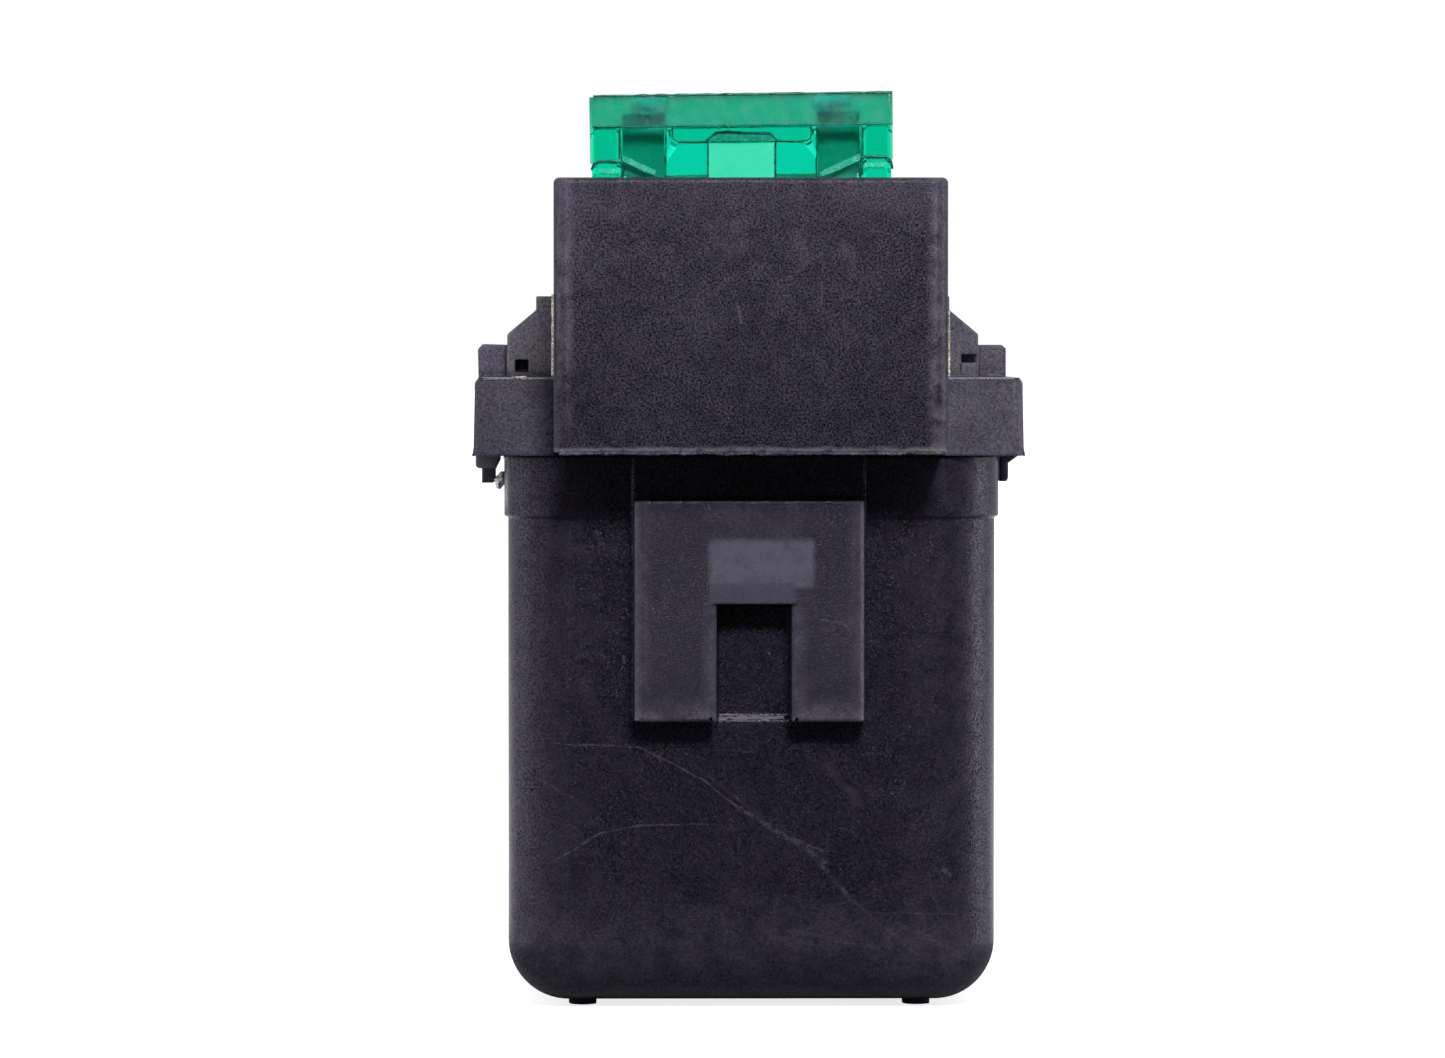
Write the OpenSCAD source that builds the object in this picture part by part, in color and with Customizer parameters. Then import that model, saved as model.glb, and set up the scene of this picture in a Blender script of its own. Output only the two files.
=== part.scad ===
// Starter relay with a built-in blade fuse, modelled as separate pieces.
// Units are millimetres. +Z is up and the tower faces -Y, the front.
// The origin is the centre of the footprint, on the plane the feet stand on.
// Pieces are drawn about the header's mid line and the case's mid depth; at_case() moves them.

/* [Case] */
// Width of the case below its top band
case_width = 31.4; // [31:0.1:31.6]
// Depth of the case below its top band
case_depth = 31.0; // [30.8:0.1:31.2]
// Radius of the upright and bottom edges of the case
case_edge_r = 3.9; // [3:0.1:4]
// Height of the four feet
foot_height = 0.45; // [0.3:0.05:0.5]

/* [Mounting loop] */
// Width of the loop
loop_width = 14.8; // [14.4:0.1:15.2]
// How far the loop stands out of the case
loop_out = 3.2; // [3.1:0.1:3.6]
// Width of the slot in the loop
slot_width = 4.75; // [4:0.05:5.5]
// Thickness of the tongue the pocket takes
tongue_thick = 1.8; // [1.6:0.1:1.9]

/* [Header] */
// Width of the flange across its ears
flange_width = 35.4; // [35:0.1:35.6]
// Thickness of the flange
flange_thick = 5.0; // [4.9:0.1:5.2]
// Width of the tower
tower_width = 24.8; // [24.6:0.1:25.4]
// Height of the tower's rim above the feet
tower_z1 = 53.2; // [52.8:0.1:54]
// Radius of the tower's upright edges
tower_edge_r = 0.9; // [0.5:0.1:1.2]
// Distance from the centre of the case to the face of the tower
tower_out = 24.5; // [24.3:0.1:25]

/* [Studs] */
// Distance between the two studs
stud_pitch = 17.0; // [16.4:0.1:17.2]
// Outside radius of the stud's free end
stud_r = 3.0; // [3.0:0.05:3.0]
// Height of the stud tips above the feet
stud_z1 = 53.0; // [52.4:0.1:53.2]

/* [Fuse] */
// Width of the fuse body
fuse_width = 19.1; // [18.9:0.1:19.2]
// How far the fuse leans to one side, in degrees
fuse_lean = 0.76; // [0:0.02:0.8]
// How far the fuse stands proud of the tower
fuse_proud = 5.2; // [5:0.1:5.6]

/* [Mechanism] */
// Plunger travel from rest to the fixed core
stroke = 2.3; // [2:0.05:2.3]
// Turns of the return spring
return_turns = 7; // [5:1:8]
// Turns of the contact spring
contact_turns = 4; // [3:1:5]

/* [Hidden] */
$fn = 64;

gap = 0.02;                     // fitting gap between moulded-in pieces
over = 1;                       // how far a cut runs past the face it opens

black = [0.13, 0.12, 0.15];
steel = [0.62, 0.62, 0.64];
copper = [0.80, 0.50, 0.32];
tin = [0.74, 0.74, 0.73];
green = [0.05, 0.72, 0.48, 0.6];
brown = [0.55, 0.36, 0.22];

// ---------------------------------------------------------------- helpers

// A span is [low, high] along one axis
function span(size, middle = 0) = [middle - size/2, middle + size/2];
function grow(s, extra) = [s[0] - extra, s[1] + extra];
// Closes the right half of an outline with its mirror image
function mirrored(half) =
    concat(half, [for (i = [len(half) - 1:-1:0]) [-half[i][0], half[i][1]]]);

module left_right() {
    children();
    mirror([1, 0, 0]) children();
}
module front_back() {
    children();
    mirror([0, 1, 0]) children();
}
module corners(x, y) for (a = [-1, 1], b = [-1, 1]) translate([a*x, b*y]) children();

// Outlines extruded along one axis: (y, z), (x, z) and (x, y) points
module along_x(x) translate([x[0], 0, 0]) rotate([90, 0, 90]) linear_extrude(x[1] - x[0]) children();
module along_y(y) translate([0, y[1], 0]) rotate([90, 0, 0]) linear_extrude(y[1] - y[0]) children();
module along_z(z) translate([0, 0, z[0]]) linear_extrude(z[1] - z[0]) children();

module rounded_rect(width, depth, r) {
    square([width - 2*r, depth], center = true);
    square([width, depth - 2*r], center = true);
    corners(width/2 - r, depth/2 - r) circle(r = r);
}
module slab(x, y, z)
    translate([x[0], y[0], z[0]]) cube([x[1] - x[0], y[1] - y[0], z[1] - z[0]]);
// Slab with rounded upright edges
module round_slab(x, y, z, r)
    along_z(z) translate([(x[0] + x[1])/2, (y[0] + y[1])/2])
        rounded_rect(x[1] - x[0], y[1] - y[0], r);
module rod(at, z, r) translate([at[0], at[1], z[0]]) cylinder(h = z[1] - z[0], r = r);
module ring(at, z, inner_r, outer_r) difference() {
    rod(at, z, outer_r);
    rod(at, grow(z, over), inner_r);
}
// Box with upright and bottom edges rounded to one radius
module bowl(width, depth, z, r) {
    x = width/2 - r;
    y = depth/2 - r;
    low = z[0] + r;
    round_slab(span(width), span(depth), [low, z[1]], r);
    slab([-x, x], [-y, y], [z[0], low]);
    translate([0, 0, low]) {
        corners(x, y) sphere(r = r);
        for (side = [-1, 1]) {
            translate([side*x, -y, 0]) rotate([-90, 0, 0]) cylinder(h = 2*y, r = r);
            translate([-x, side*y, 0]) rotate([0, 90, 0]) cylinder(h = 2*x, r = r);
        }
    }
}

// Round wire wound on a helix between the heights in z, closely wound at both ends
module coil_spring(z, r, wire_r, turns) {
    per_turn = 16;              // wire sections in a turn
    sides = 6;                  // corners of a wire section
    steps = per_turn*turns;
    end_turns = 0.75;           // turns closely wound at each end
    end_pitch = 2.1*wire_r;
    open_rise = z[1] - z[0] - 2*wire_r - 2*end_pitch*end_turns;
    function mid_z(turn) = z[0] + wire_r
        + end_pitch*(min(turn, end_turns) + max(0, turn - (turns - end_turns)))
        + open_rise*max(0, min(1, (turn - end_turns)/(turns - 2*end_turns)));
    points = [for (i = [0:steps], j = [0:sides - 1])
        let (turn = i/per_turn, a = 360*turn, b = 360*j/sides, out = r + wire_r*cos(b))
            [out*cos(a), out*sin(a), mid_z(turn) + wire_r*sin(b)]];
    walls = [for (i = [0:steps - 1], j = [0:sides - 1])
        let (this = i*sides, next = this + sides, k = (j + 1)%sides)
            [next + j, next + k, this + k, this + j]];
    caps = [[for (j = [0:sides - 1]) j], [for (j = [sides - 1:-1:0]) steps*sides + j]];
    polyhedron(points = points, faces = concat(walls, caps), convexity = 10);
}

// ---------------------------------------------------------------- shared places

case_z0 = foot_height;          // underside of the case
case_z1 = 35.6;                 // rim of the case
wall = 1.6;
cavity_x = case_width/2 - wall; // half width of the case's cavity
cavity_y = case_depth/2 - wall;
cavity_z0 = 2.1;
cavity_r = 1.6;
flange_y = [-16.2, 16.0];
flange_z0 = case_z1;
flange_z1 = flange_z0 + flange_thick;
pad_z = flange_z1 - 0.8;        // sunk terminal pads
stud_x = stud_pitch/2;
stud_y = 7.0;
shank_r = 2.95;                 // stud inside the washer and nut
coil_y = 3.0;
axis = [0, coil_y];             // the coil's upright axis
fuse_x = -0.45;                 // the fuse sits a little to the left in its slot
fuse_y = -20.2;                 // the fuse's mid plane
fuse_height = 12.2;             // the fuse's plastic body
fuse_z0 = tower_z1 + fuse_proud - fuse_height;
fuse_blade_x = 4.7;             // centre of each fuse blade
bus_z = [37.5, 38.3];
bus_end_y = span(4, fuse_y);    // bus bars under the fuse
pin_y = [-7.2, -11.8];          // rows of pins in the plug socket
coil_pin_x = -4.6;
coil_pin_z0 = 34.2;
seal_z = [33.0, 34.2];          // groove for the gasket
yoke_z1 = 21.6;                 // top of the yoke frame's sides

// Moves the case's centre so that the origin is mid-footprint
module at_case() translate([0, (tower_out - flange_y[1])/2, 0]) children();
module at_studs() for (side = [-1, 1]) translate([side*stud_x, stud_y, 0]) children();

// ---------------------------------------------------------------- case

case_x = 0.23;                  // the case sits a little to the right of the header
band_z0 = 31.65;                // lower edge of the case's top band
band_out = 0.25;                // how far the band stands out
face_y = -case_depth/2;         // face of the case
loop_y0 = face_y - loop_out;
loop_z0 = 18.7;
loop_z1 = 32.8;
loop_cut_z0 = loop_z0 - over;
pocket_z1 = loop_z1 - 2.3;
slot_x = 0.3;                   // the loop's slot sits a little to the right
slot_z1 = 26.2;

module case_can() at_case() color(black) difference() {
    union() {
        translate([case_x, 0, 0]) {
            bowl(case_width, case_depth, [case_z0, case_z1], case_edge_r);
            round_slab(span(case_width + 2*band_out), span(case_depth + 2*band_out),
                       [band_z0, case_z1], case_edge_r + band_out);
        }
        // thin pad between the loop and the flange
        slab(span(loop_width), [face_y - 0.45, face_y + 0.5], [loop_z1 - 0.2, case_z1]);
        // loop, with rounded sides and foot
        intersection() {
            round_slab(span(loop_width), [loop_y0, face_y + 1.2], [loop_z0, loop_z1], 0.75);
            along_x([-20, 20]) translate([loop_y0 + 10, loop_z0 + 20]) rounded_rect(20, 40, 0.35);
        }
        // feet
        translate([case_x/2, 0, 0]) corners(10.8, 10.2) rod([0, 0], [0, case_z0 + 0.4], 0.9);
    }
    bowl(2*cavity_x, 2*cavity_y, [cavity_z0, case_z1 + over], cavity_r);
    // pocket for the bracket's tongue
    slab(span(loop_width - 2.6), [face_y - tongue_thick, face_y], [loop_cut_z0, pocket_z1]);
    translate([slot_x, 0, 0]) {
        // slot in the loop, with its sides flared at the front
        slab(span(slot_width), [loop_y0 - over, face_y - 1], [loop_cut_z0, slot_z1]);
        along_z([loop_cut_z0, slot_z1]) polygon([
            [-slot_width/2 - 0.52, loop_y0 - 0.1], [slot_width/2 + 0.46, loop_y0 - 0.1],
            [slot_width/2, loop_y0 + 0.36], [-slot_width/2, loop_y0 + 0.36]]);
        // sunk floor behind the slot
        along_x(span(slot_width - 0.2)) polygon([
            [face_y - 0.5, loop_z0], [face_y, loop_z0], [face_y + 0.4, loop_z0 + 0.2],
            [face_y + 0.4, pocket_z1], [face_y - 0.5, pocket_z1]]);
    }
}

// Space inside the gasket
module seal_core(extra)
    round_slab(span(26.6 + extra), span(26.4 + extra), grow(seal_z, over), 1.0);

module seal_gasket() at_case() color([0.32, 0.30, 0.29]) difference() {
    round_slab(span(2*(cavity_x - gap)), span(2*(cavity_y - gap)),
               grow(seal_z, -gap), cavity_r - gap);
    seal_core(gap);
}

// ---------------------------------------------------------------- bus bars and pins

pin_z1 = 49.0;
pin_thick = 0.8;
lead_r = 0.4;

// The metal shapes below also cut their seats in the header, grown by extra

// Disc round the battery stud, with a strip to the fuse
module input_bar(extra) {
    z = grow(bus_z, extra);
    rod([-stud_x, stud_y], z, 4.3 + extra);
    slab(grow([-10.2, -7.2], extra), [bus_end_y[0] - extra, stud_y], z);
    slab(grow([-10.0, -3.0], extra), grow(bus_end_y, extra), z);
}
module output_bar(extra) {
    z = grow(bus_z, extra);
    slab(grow([4.0, 9.0], extra), grow([bus_end_y[0], -6.4], extra), z);
    slab(grow([2.0, 5.0], extra), grow(bus_end_y, extra), z);
}
// Blade terminal with a tapered tip
module blade(x, y, z0, width, extra) {
    half = width/2 + extra;
    translate([x, 0, 0]) along_y(grow(span(pin_thick, y), extra)) polygon(mirrored([
        [half, z0 - extra], [half, pin_z1 - 1.2], [half - 0.9, pin_z1 + extra]]));
}
module power_blades(extra) for (y = pin_y) blade(5.6, y, bus_z[1] + gap, 6.3, extra);
module coil_blades(extra) for (y = pin_y) blade(coil_pin_x, y, coil_pin_z0, 2.8, extra);

// Folded clip that grips one fuse blade
module fuse_clip(x) translate([x, fuse_y, 0]) {
    slab(span(4.8), span(1.9), [bus_z[1] + gap, 38.9]);
    front_back() along_x(span(4.8)) polygon([
        [0.355, 40.2], [0.355, 44.6], [0.75, 45.6], [1.05, 45.5],
        [0.95, 44.6], [0.95, 38.5], [0.5, 38.5]]);
}

module input_bus_bar() at_case() color(copper) difference() {
    input_bar(0);
    rod([-stud_x, stud_y], [30, 45], shank_r + gap);
}
module output_bus_bar() at_case() color(copper) output_bar(0);
module fuse_clip_input() at_case() color(tin) fuse_clip(fuse_x - fuse_blade_x);
module fuse_clip_output() at_case() color(tin) fuse_clip(fuse_x + fuse_blade_x);
module power_pins() at_case() color(tin) power_blades(0);
module coil_pins() at_case() color(tin) coil_blades(0);
module coil_leads() at_case() color([0.7, 0.2, 0.15])
    for (y = pin_y) rod([coil_pin_x, y], [yoke_z1, coil_pin_z0 - gap], lead_r);

// Lies along Y between the two coil leads
module suppression_diode() at_case() color([0.15, 0.15, 0.17])
    translate([coil_pin_x, (pin_y[0] + pin_y[1])/2, 27.5]) rotate([90, 0, 0]) {
        rod([0, 0], span(2.7), 1.25);
        rod([0, 0], span(pin_y[0] - pin_y[1] - 2*lead_r - 2*gap), 0.3);
    }

// ---------------------------------------------------------------- header

tower_y = [-tower_out, -3.5];
tower_cut_z1 = tower_z1 + over;
deck_z0 = 40;                   // foot of the walls, sunk in the flange
deck_wall_z1 = 45.9;
leg_y = -8.0;                   // locating legs on both sides
skirt_gap = 0.08;

// Half outline of the flange from the front, with a little draft
flange_half = [for (p = [[0, flange_z0], [0.09, flange_z0 + 0.5],
                         [0.18, flange_z1 - 0.3], [0.4, flange_z1]])
    [flange_width/2 - p[0], p[1]]];

module flange() intersection() {
    round_slab(span(flange_width), flange_y, [flange_z0, flange_z1], 0.8);
    along_y([-40, 40]) polygon(mirrored(flange_half));
}
module tower() {
    round_z = tower_z1 - 20;
    intersection() {
        round_slab(span(tower_width), tower_y, [flange_z0 + 0.35, tower_z1], tower_edge_r);
        along_y([-40, 40]) translate([0, round_z]) rounded_rect(tower_width, 40, 0.35);
        along_x([-40, 40]) translate([(tower_y[0] + tower_y[1])/2, round_z])
            rounded_rect(tower_y[1] - tower_y[0], 40, 0.35);
    }
    // locating ribs on the sides
    left_right() slab([tower_width/2 - 0.2, tower_width/2 + 0.22], [-9.0, -7.8],
                      [flange_z1 - 0.5, 46.0]);
    // catch for the plug's lock, on the back
    along_x(span(6.4)) polygon([
        [tower_y[1] - 0.3, 46.8], [tower_y[1] + 0.75, 46.8],
        [tower_y[1] + 0.75, 47.4], [tower_y[1] - 0.3, 49.4]]);
}
module deck_walls() {
    // partition wall between the tower and the terminals
    translate([-0.18, 0, 0]) along_y([-2.5, -0.5]) polygon(mirrored([
        [15.5, deck_z0], [15.5, 43.4], [13.6, 45.0], [13.6, deck_wall_z1]]));
    // wall between the two studs
    along_x(span(1.8)) polygon([[-1, deck_z0], [-1, deck_wall_z1], [12.0, deck_wall_z1],
        [14.8, 43.4], [14.8, deck_z0]]);
    // raised side blocks of the terminal deck
    along_y([-0.2, 15.2]) {
        polygon([[15.5, deck_z0], [15.5, 42.7], [17.0, 42.7], [17.26, 42.45], [17.26, deck_z0]]);
        polygon([[-15.75, deck_z0], [-15.75, 42.7], [-17.35, 42.75], [-17.66, 42.4],
            [-17.6, deck_z0]]);
    }
}
// Locating legs under the ears, each with a narrower toe
module legs() {
    top = flange_z0 + 0.2;
    along_y(span(4.8, leg_y)) {
        polygon([[-17.6, top], [-17.6, 34.9], [-17.45, 34.72], [-16.3, 34.72],
            [-16.05, 35.2], [-16.0, top]]);
        polygon([[17.62, top], [17.62, flange_z0], [17.42, 35.44], [16.95, 35.1],
            [16.36, 35.1], [16.36, top]]);
    }
    along_y(span(3.8, leg_y)) {
        polygon([[-17.2, 35], [-17.2, 33.77], [-16.45, 33.77], [-16.35, 33.95], [-16.35, 35]]);
        polygon([[16.92, 35.3], [16.92, 34.05], [16.8, 33.86], [16.36, 33.86], [16.36, 35.3]]);
    }
}

module header() at_case() color(black) difference() {
    union() {
        flange();
        tower();
        deck_walls();
        legs();
        // skirt inside the case
        difference() {
            round_slab(span(2*(cavity_x - skirt_gap)), span(2*(cavity_y - skirt_gap)),
                       [31.6, flange_z0 + 0.2], 1.5);
            round_slab(span(24.8), span(24.6), [30, flange_z0], 0.8);
        }
    }
    // notches at the foot of the partition wall
    slab([-15.13, -14.3], [-3, -0.95], [40.92, 41.7]);
    slab([14.2, 16], [-3, -0.95], [41.55, 42.05]);
    slab([14.25, 16], [-3, -2.3], [40.75, 41.8]);
    // fuse slot, with a well for each blade
    slab([-10.35, 9.75], span(5.9, fuse_y), [fuse_z0 - 0.15, tower_cut_z1]);
    for (side = [-1, 1])
        slab(span(5.8, fuse_x + side*fuse_blade_x), span(2.5, fuse_y), [bus_z[1] - gap, fuse_z0]);
    // plug socket, with its keyways
    round_slab(span(21.8), [-15.6, -5.0], [flange_z1, tower_cut_z1], 0.6);
    for (x = [-7, 7]) slab(span(1.2, x), [-5.2, -4.4], [43.5, tower_cut_z1]);
    // rod pocket, stud bores and terminal pads
    rod(axis, [flange_z0 - over, 38.6], 3.4);
    at_studs() {
        rod([0, 0], [flange_z0 - over, flange_z1 + over], shank_r + gap);
        rod([0, 0], [pad_z, flange_z1 + over], 6.6);
    }
    // moulded-in metal
    input_bar(gap);
    output_bar(gap);
    power_blades(gap);
    coil_blades(gap);
    // groove for the gasket
    difference() {
        round_slab(span(32), span(32), seal_z, 1.5);
        seal_core(0);
    }
}

// ---------------------------------------------------------------- fuse

cap_z0 = fuse_height - 1.95;
post_z1 = fuse_height - 1.7;
post_x0 = fuse_width/2 - 1.95;  // inner face of the side posts

module at_fuse() translate([fuse_x, fuse_y, fuse_z0]) rotate([0, -fuse_lean, 0]) children();

module fuse_body() at_case() color(green) at_fuse() difference() {
    union() {
        round_slab(span(fuse_width), span(5.1), [cap_z0, fuse_height], 0.25);
        // boss under the middle of the cap
        along_y(span(3.4)) {
            translate([-4.4, fuse_height - 2.5]) square([8.8, 0.7]);
            translate([-3.9, fuse_height - 2.95]) square([7.8, 1]);
            for (side = [-1, 1]) translate([side*3.9, fuse_height - 2.45]) circle(r = 0.5);
        }
        // side posts, thick above and stepped back below
        left_right() round_slab([post_x0, fuse_width/2], span(3.7), [8.1, post_z1], 0.3);
        left_right() round_slab([post_x0, fuse_width/2 - 0.1], span(2.9), [0.8, 8.3], 0.3);
        // web between the posts
        slab(span(fuse_width - 2), span(2.6), [0, post_z1]);
    }
    // spaces round the two blades and their heads
    left_right() slab([2.05, 7.4], span(0.72), [-over, 7.4]);
    left_right() slab([4.75, 7.6], span(0.72), [7, fuse_height - 0.75]);
    // chamber round the link, with a chamfered top
    along_y(span(1.6)) polygon(mirrored([[2.15, 1.6], [2.15, 9.3], [1.6, 9.8]]));
    // test openings in the top
    left_right() slab([4.55, 6.95], span(1), [fuse_height - 0.8, fuse_height + over]);
    // sloped pockets at the foot of the heads, front and back
    left_right() front_back() along_y([0.85, 3]) polygon([
        [7.55, 8.25], [5.4, 7.3], [5.4, 5.5], [7.55, 5.5]]);
}

module fuse_element() at_case() color(tin) at_fuse() {
    // blade with its head
    left_right() along_y(span(0.65)) polygon([
        [4.85, 7.3], [2.1, 7.3], [2.1, -5.7], [2.9, -6.4], [6.5, -6.4], [7.3, -5.7],
        [7.3, 7.3], [7.5, 7.3], [7.5, 11.2], [4.85, 11.2]]);
    // link: a narrow strip that arches between the blades
    along_y(span(0.4)) polygon(mirrored([[0.6, 5.2], [2.2, 3.4], [2.2, 4.6], [1.0, 6.3]]));
}

// ---------------------------------------------------------------- coil

plunger_z0 = 2.75;              // plunger, at rest
plunger_z1 = 12.3;
plunger_r = 4.0;                // also the fixed core's radius
rod_r = 1.5;
rod_hole_r = 1.58;
core_z0 = plunger_z1 + stroke;
core_neck_r = 3.0;
spring_top_z = 19.6;            // end of the core's wide bore
hub_r = 5.0;
bobbin_z1 = yoke_z1 - gap;
bobbin_low_z = [3.55, 4.65];    // bobbin's flanges
bobbin_high_z = [20.45, bobbin_z1];
winding_z = [bobbin_low_z[1] + gap, bobbin_high_z[0] - gap];
yoke_x = [10.3, 11.7];          // side of the yoke
yoke_y = span(15, coil_y);
yoke_tab_y = span(4, coil_y);
plate_z1 = 23.2;

module bobbin() at_case() color([0.86, 0.84, 0.78]) difference() {
    union() {
        rod(axis, bobbin_low_z, 9.8);
        rod(axis, [bobbin_low_z[0], bobbin_z1], hub_r);
        rod(axis, bobbin_high_z, 9.8);
        // lug that carries the two lead wires
        slab([-6.4, -2.8], [-12.8, -5.5], bobbin_high_z);
    }
    rod(axis, [3, 23], 4.05);
}
module coil_winding() at_case() color(copper) translate([0, coil_y, 0]) rotate_extrude()
    polygon([[hub_r + gap, winding_z[0]], [9.0, winding_z[0]], [9.2, 4.9],
        [9.2, 20.2], [9.0, winding_z[1]], [hub_r + gap, winding_z[1]]]);
module yoke_frame() at_case() color(steel) difference() {
    union() {
        slab(span(2*yoke_x[1]), yoke_y, [cavity_z0 + gap, 3.53]);
        left_right() slab(yoke_x, yoke_y, [cavity_z0 + gap, yoke_z1 - gap]);
        left_right() slab(yoke_x, yoke_tab_y, [yoke_z1 - 1, plate_z1]);
    }
    rod(axis, [1, 5], 4.15);
}
module yoke_plate() at_case() color(steel) difference() {
    slab(span(2*yoke_x[1]), yoke_y, [yoke_z1, plate_z1]);
    left_right() slab([yoke_x[0] - gap, 12], grow(yoke_tab_y, gap), grow([yoke_z1, plate_z1], over));
    rod(axis, [20, 25], core_neck_r + gap);
}
module fixed_core() at_case() color(steel) difference() {
    union() {
        rod(axis, [core_z0, yoke_z1 - gap], plunger_r);
        rod(axis, [yoke_z1 - 1, plate_z1 + 0.15], core_neck_r);
    }
    rod(axis, [10, 30], rod_hole_r);
    rod(axis, [core_z0 - over, spring_top_z], 2.7);
}
module stop_pad() at_case() color([0.2, 0.2, 0.2]) rod(axis, [cavity_z0 + gap, 2.7], 3.6);

// ---------------------------------------------------------------- moving iron and contacts

clip_z = [32.25, 32.75];        // groove for the retainer clip
clip_r = 1.15;
seat_z = [23.55, 24.15];
bridge_z = [30.1, 31.6];

module plunger() at_case() color(steel) difference() {
    rod(axis, [plunger_z0, plunger_z1], plunger_r);
    rod(axis, [7.2, plunger_z1 + over], rod_r + gap);
}
module plunger_rod() at_case() color([0.72, 0.62, 0.36]) difference() {
    rod(axis, [7.3, 34.2], rod_r);
    ring(axis, clip_z, clip_r, 2);
}
module return_spring() at_case() color(steel) translate([0, coil_y, 0])
    coil_spring([plunger_z1 + gap, spring_top_z - gap], 2.1, 0.25, return_turns);
module spring_seat() at_case() color(steel) ring(axis, seat_z, rod_r + gap, 3.5);
module contact_spring() at_case() color(steel) translate([0, coil_y, 0])
    coil_spring([seat_z[1] + gap, 29.4], 2.75, 0.3, contact_turns);
module insulating_washer() at_case() color(brown) ring(axis, [29.45, 30.05], rod_hole_r, 3.6);
module contact_bridge() at_case() color(copper) difference() {
    round_slab(span(18.4), span(7.6, coil_y), bridge_z, 1.2);
    rod(axis, [29, 33], 2.5);
}
module insulating_bush() at_case() color(brown) difference() {
    union() {
        rod(axis, [30.08, 31.7], 2.46);
        rod(axis, [bridge_z[1] + gap, 32.2], 3.4);
    }
    rod(axis, [29, 33], rod_hole_r);
}
module retainer_clip() at_case() color(steel) difference() {
    ring(axis, grow(clip_z, -gap), clip_r + gap, 3.0);
    slab(span(2), [coil_y - 4, coil_y], [32, 33]);
}

// ---------------------------------------------------------------- studs

head_z0 = 33.12;                // contact faces of the studs
neck_r = 2.45;
neck_z0 = 46.8;
washer_z1 = pad_z + 1.2;
nut_height = 4.9;
nut_flats = 10;                 // width across the flats

module stud(side) {
    // contact head under the deck
    round_slab(span(8.2, side*8.1), [-0.9, 11.4], [head_z0, flange_z0 - gap], 1.0);
    rod([side*stud_x, stud_y], [flange_z0 - 0.5, neck_z0 + 0.1], shank_r);
    // neck above the nut, then the free end
    translate([side*stud_x, stud_y, 0]) rotate_extrude() polygon([
        [0, neck_z0], [neck_r, neck_z0], [neck_r, 47.3], [stud_r, 47.5],
        [stud_r, stud_z1 - 0.7], [stud_r - 0.6, stud_z1], [0, stud_z1]]);
}
module battery_stud() at_case() color(copper) stud(-1);
module motor_stud() at_case() color(copper) stud(1);
module stud_washers() at_case() color(tin)
    at_studs() ring([0, 0], [pad_z + gap, washer_z1], 3.15, 5.9);
module stud_nuts() at_case() color(tin)
    at_studs() translate([0, 0, washer_z1 + gap]) difference() {
        intersection() {
            rotate([0, 0, 30]) cylinder(h = nut_height, r = nut_flats/2/cos(30), $fn = 6);
            rotate_extrude() polygon([[0, 0], [5.2, 0], [5.9, 0.5],
                [5.9, nut_height - 0.5], [5.2, nut_height], [0, nut_height]]);
        }
        rod([0, 0], [-over, 7], shank_r + gap);
    }

case_can();
header();
seal_gasket();
fuse_body();
fuse_element();
bobbin();
coil_winding();
yoke_frame();
yoke_plate();
fixed_core();
stop_pad();
plunger();
plunger_rod();
return_spring();
spring_seat();
contact_spring();
insulating_washer();
contact_bridge();
insulating_bush();
retainer_clip();
battery_stud();
motor_stud();
stud_washers();
stud_nuts();
input_bus_bar();
output_bus_bar();
fuse_clip_input();
fuse_clip_output();
power_pins();
coil_pins();
coil_leads();
suppression_diode();
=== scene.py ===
"""A plunger relay: a black case under a header with a projecting tower, two threaded studs
and a green plug-in fuse on top.

The frame has +Z up, -Y to the front and +X to the right. The plunger's axis is vertical.
Tables and sizes are in millimetres unless a comment says metres; meshes are built in metres.
"""
import math
import random
from functools import cached_property, reduce

import bmesh
import bpy
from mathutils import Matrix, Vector, noise


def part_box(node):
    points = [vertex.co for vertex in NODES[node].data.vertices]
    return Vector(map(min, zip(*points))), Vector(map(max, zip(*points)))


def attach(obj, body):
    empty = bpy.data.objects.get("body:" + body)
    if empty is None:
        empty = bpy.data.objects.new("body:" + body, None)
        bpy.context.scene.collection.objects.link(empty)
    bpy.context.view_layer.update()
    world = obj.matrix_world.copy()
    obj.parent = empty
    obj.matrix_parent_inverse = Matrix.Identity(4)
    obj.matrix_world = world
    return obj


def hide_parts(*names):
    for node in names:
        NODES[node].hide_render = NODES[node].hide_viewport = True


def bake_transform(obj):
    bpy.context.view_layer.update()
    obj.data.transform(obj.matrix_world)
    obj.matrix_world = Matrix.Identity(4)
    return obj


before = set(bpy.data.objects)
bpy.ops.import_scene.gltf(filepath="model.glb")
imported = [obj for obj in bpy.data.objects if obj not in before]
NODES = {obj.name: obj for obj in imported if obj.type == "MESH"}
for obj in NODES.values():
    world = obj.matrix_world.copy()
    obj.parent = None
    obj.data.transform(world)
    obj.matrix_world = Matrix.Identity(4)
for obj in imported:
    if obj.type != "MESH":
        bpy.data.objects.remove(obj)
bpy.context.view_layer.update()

MM = 0.001
TOWER_Y = -20.25            # tower's front face
CASE_Y = 4.25               # case's centre
AXIS_Y = CASE_Y + 3.0       # plunger, coil and springs
STUD_X, STUD_Y = 8.5, CASE_Y + 7.0
FUSE_Y = CASE_Y - 20.2      # fuse's middle plane

FORWARD, UPWARD = (0, -1, 0), (0, 0, 1)
FALL = (1, 0)               # output range of a band that falls instead of rising


# ------------------------------------------------------------------ node helpers
def put(tree, socket, value):
    """Links an input to an output socket, or sets its value."""
    if hasattr(value, "is_output"):
        tree.links.new(value, socket)
    else:
        socket.default_value = value


def math_node(tree, operation, *values):
    node = tree.nodes.new("ShaderNodeMath")
    node.operation = operation
    for socket, value in zip(node.inputs, values):
        put(tree, socket, value)
    return node.outputs[0]


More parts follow.
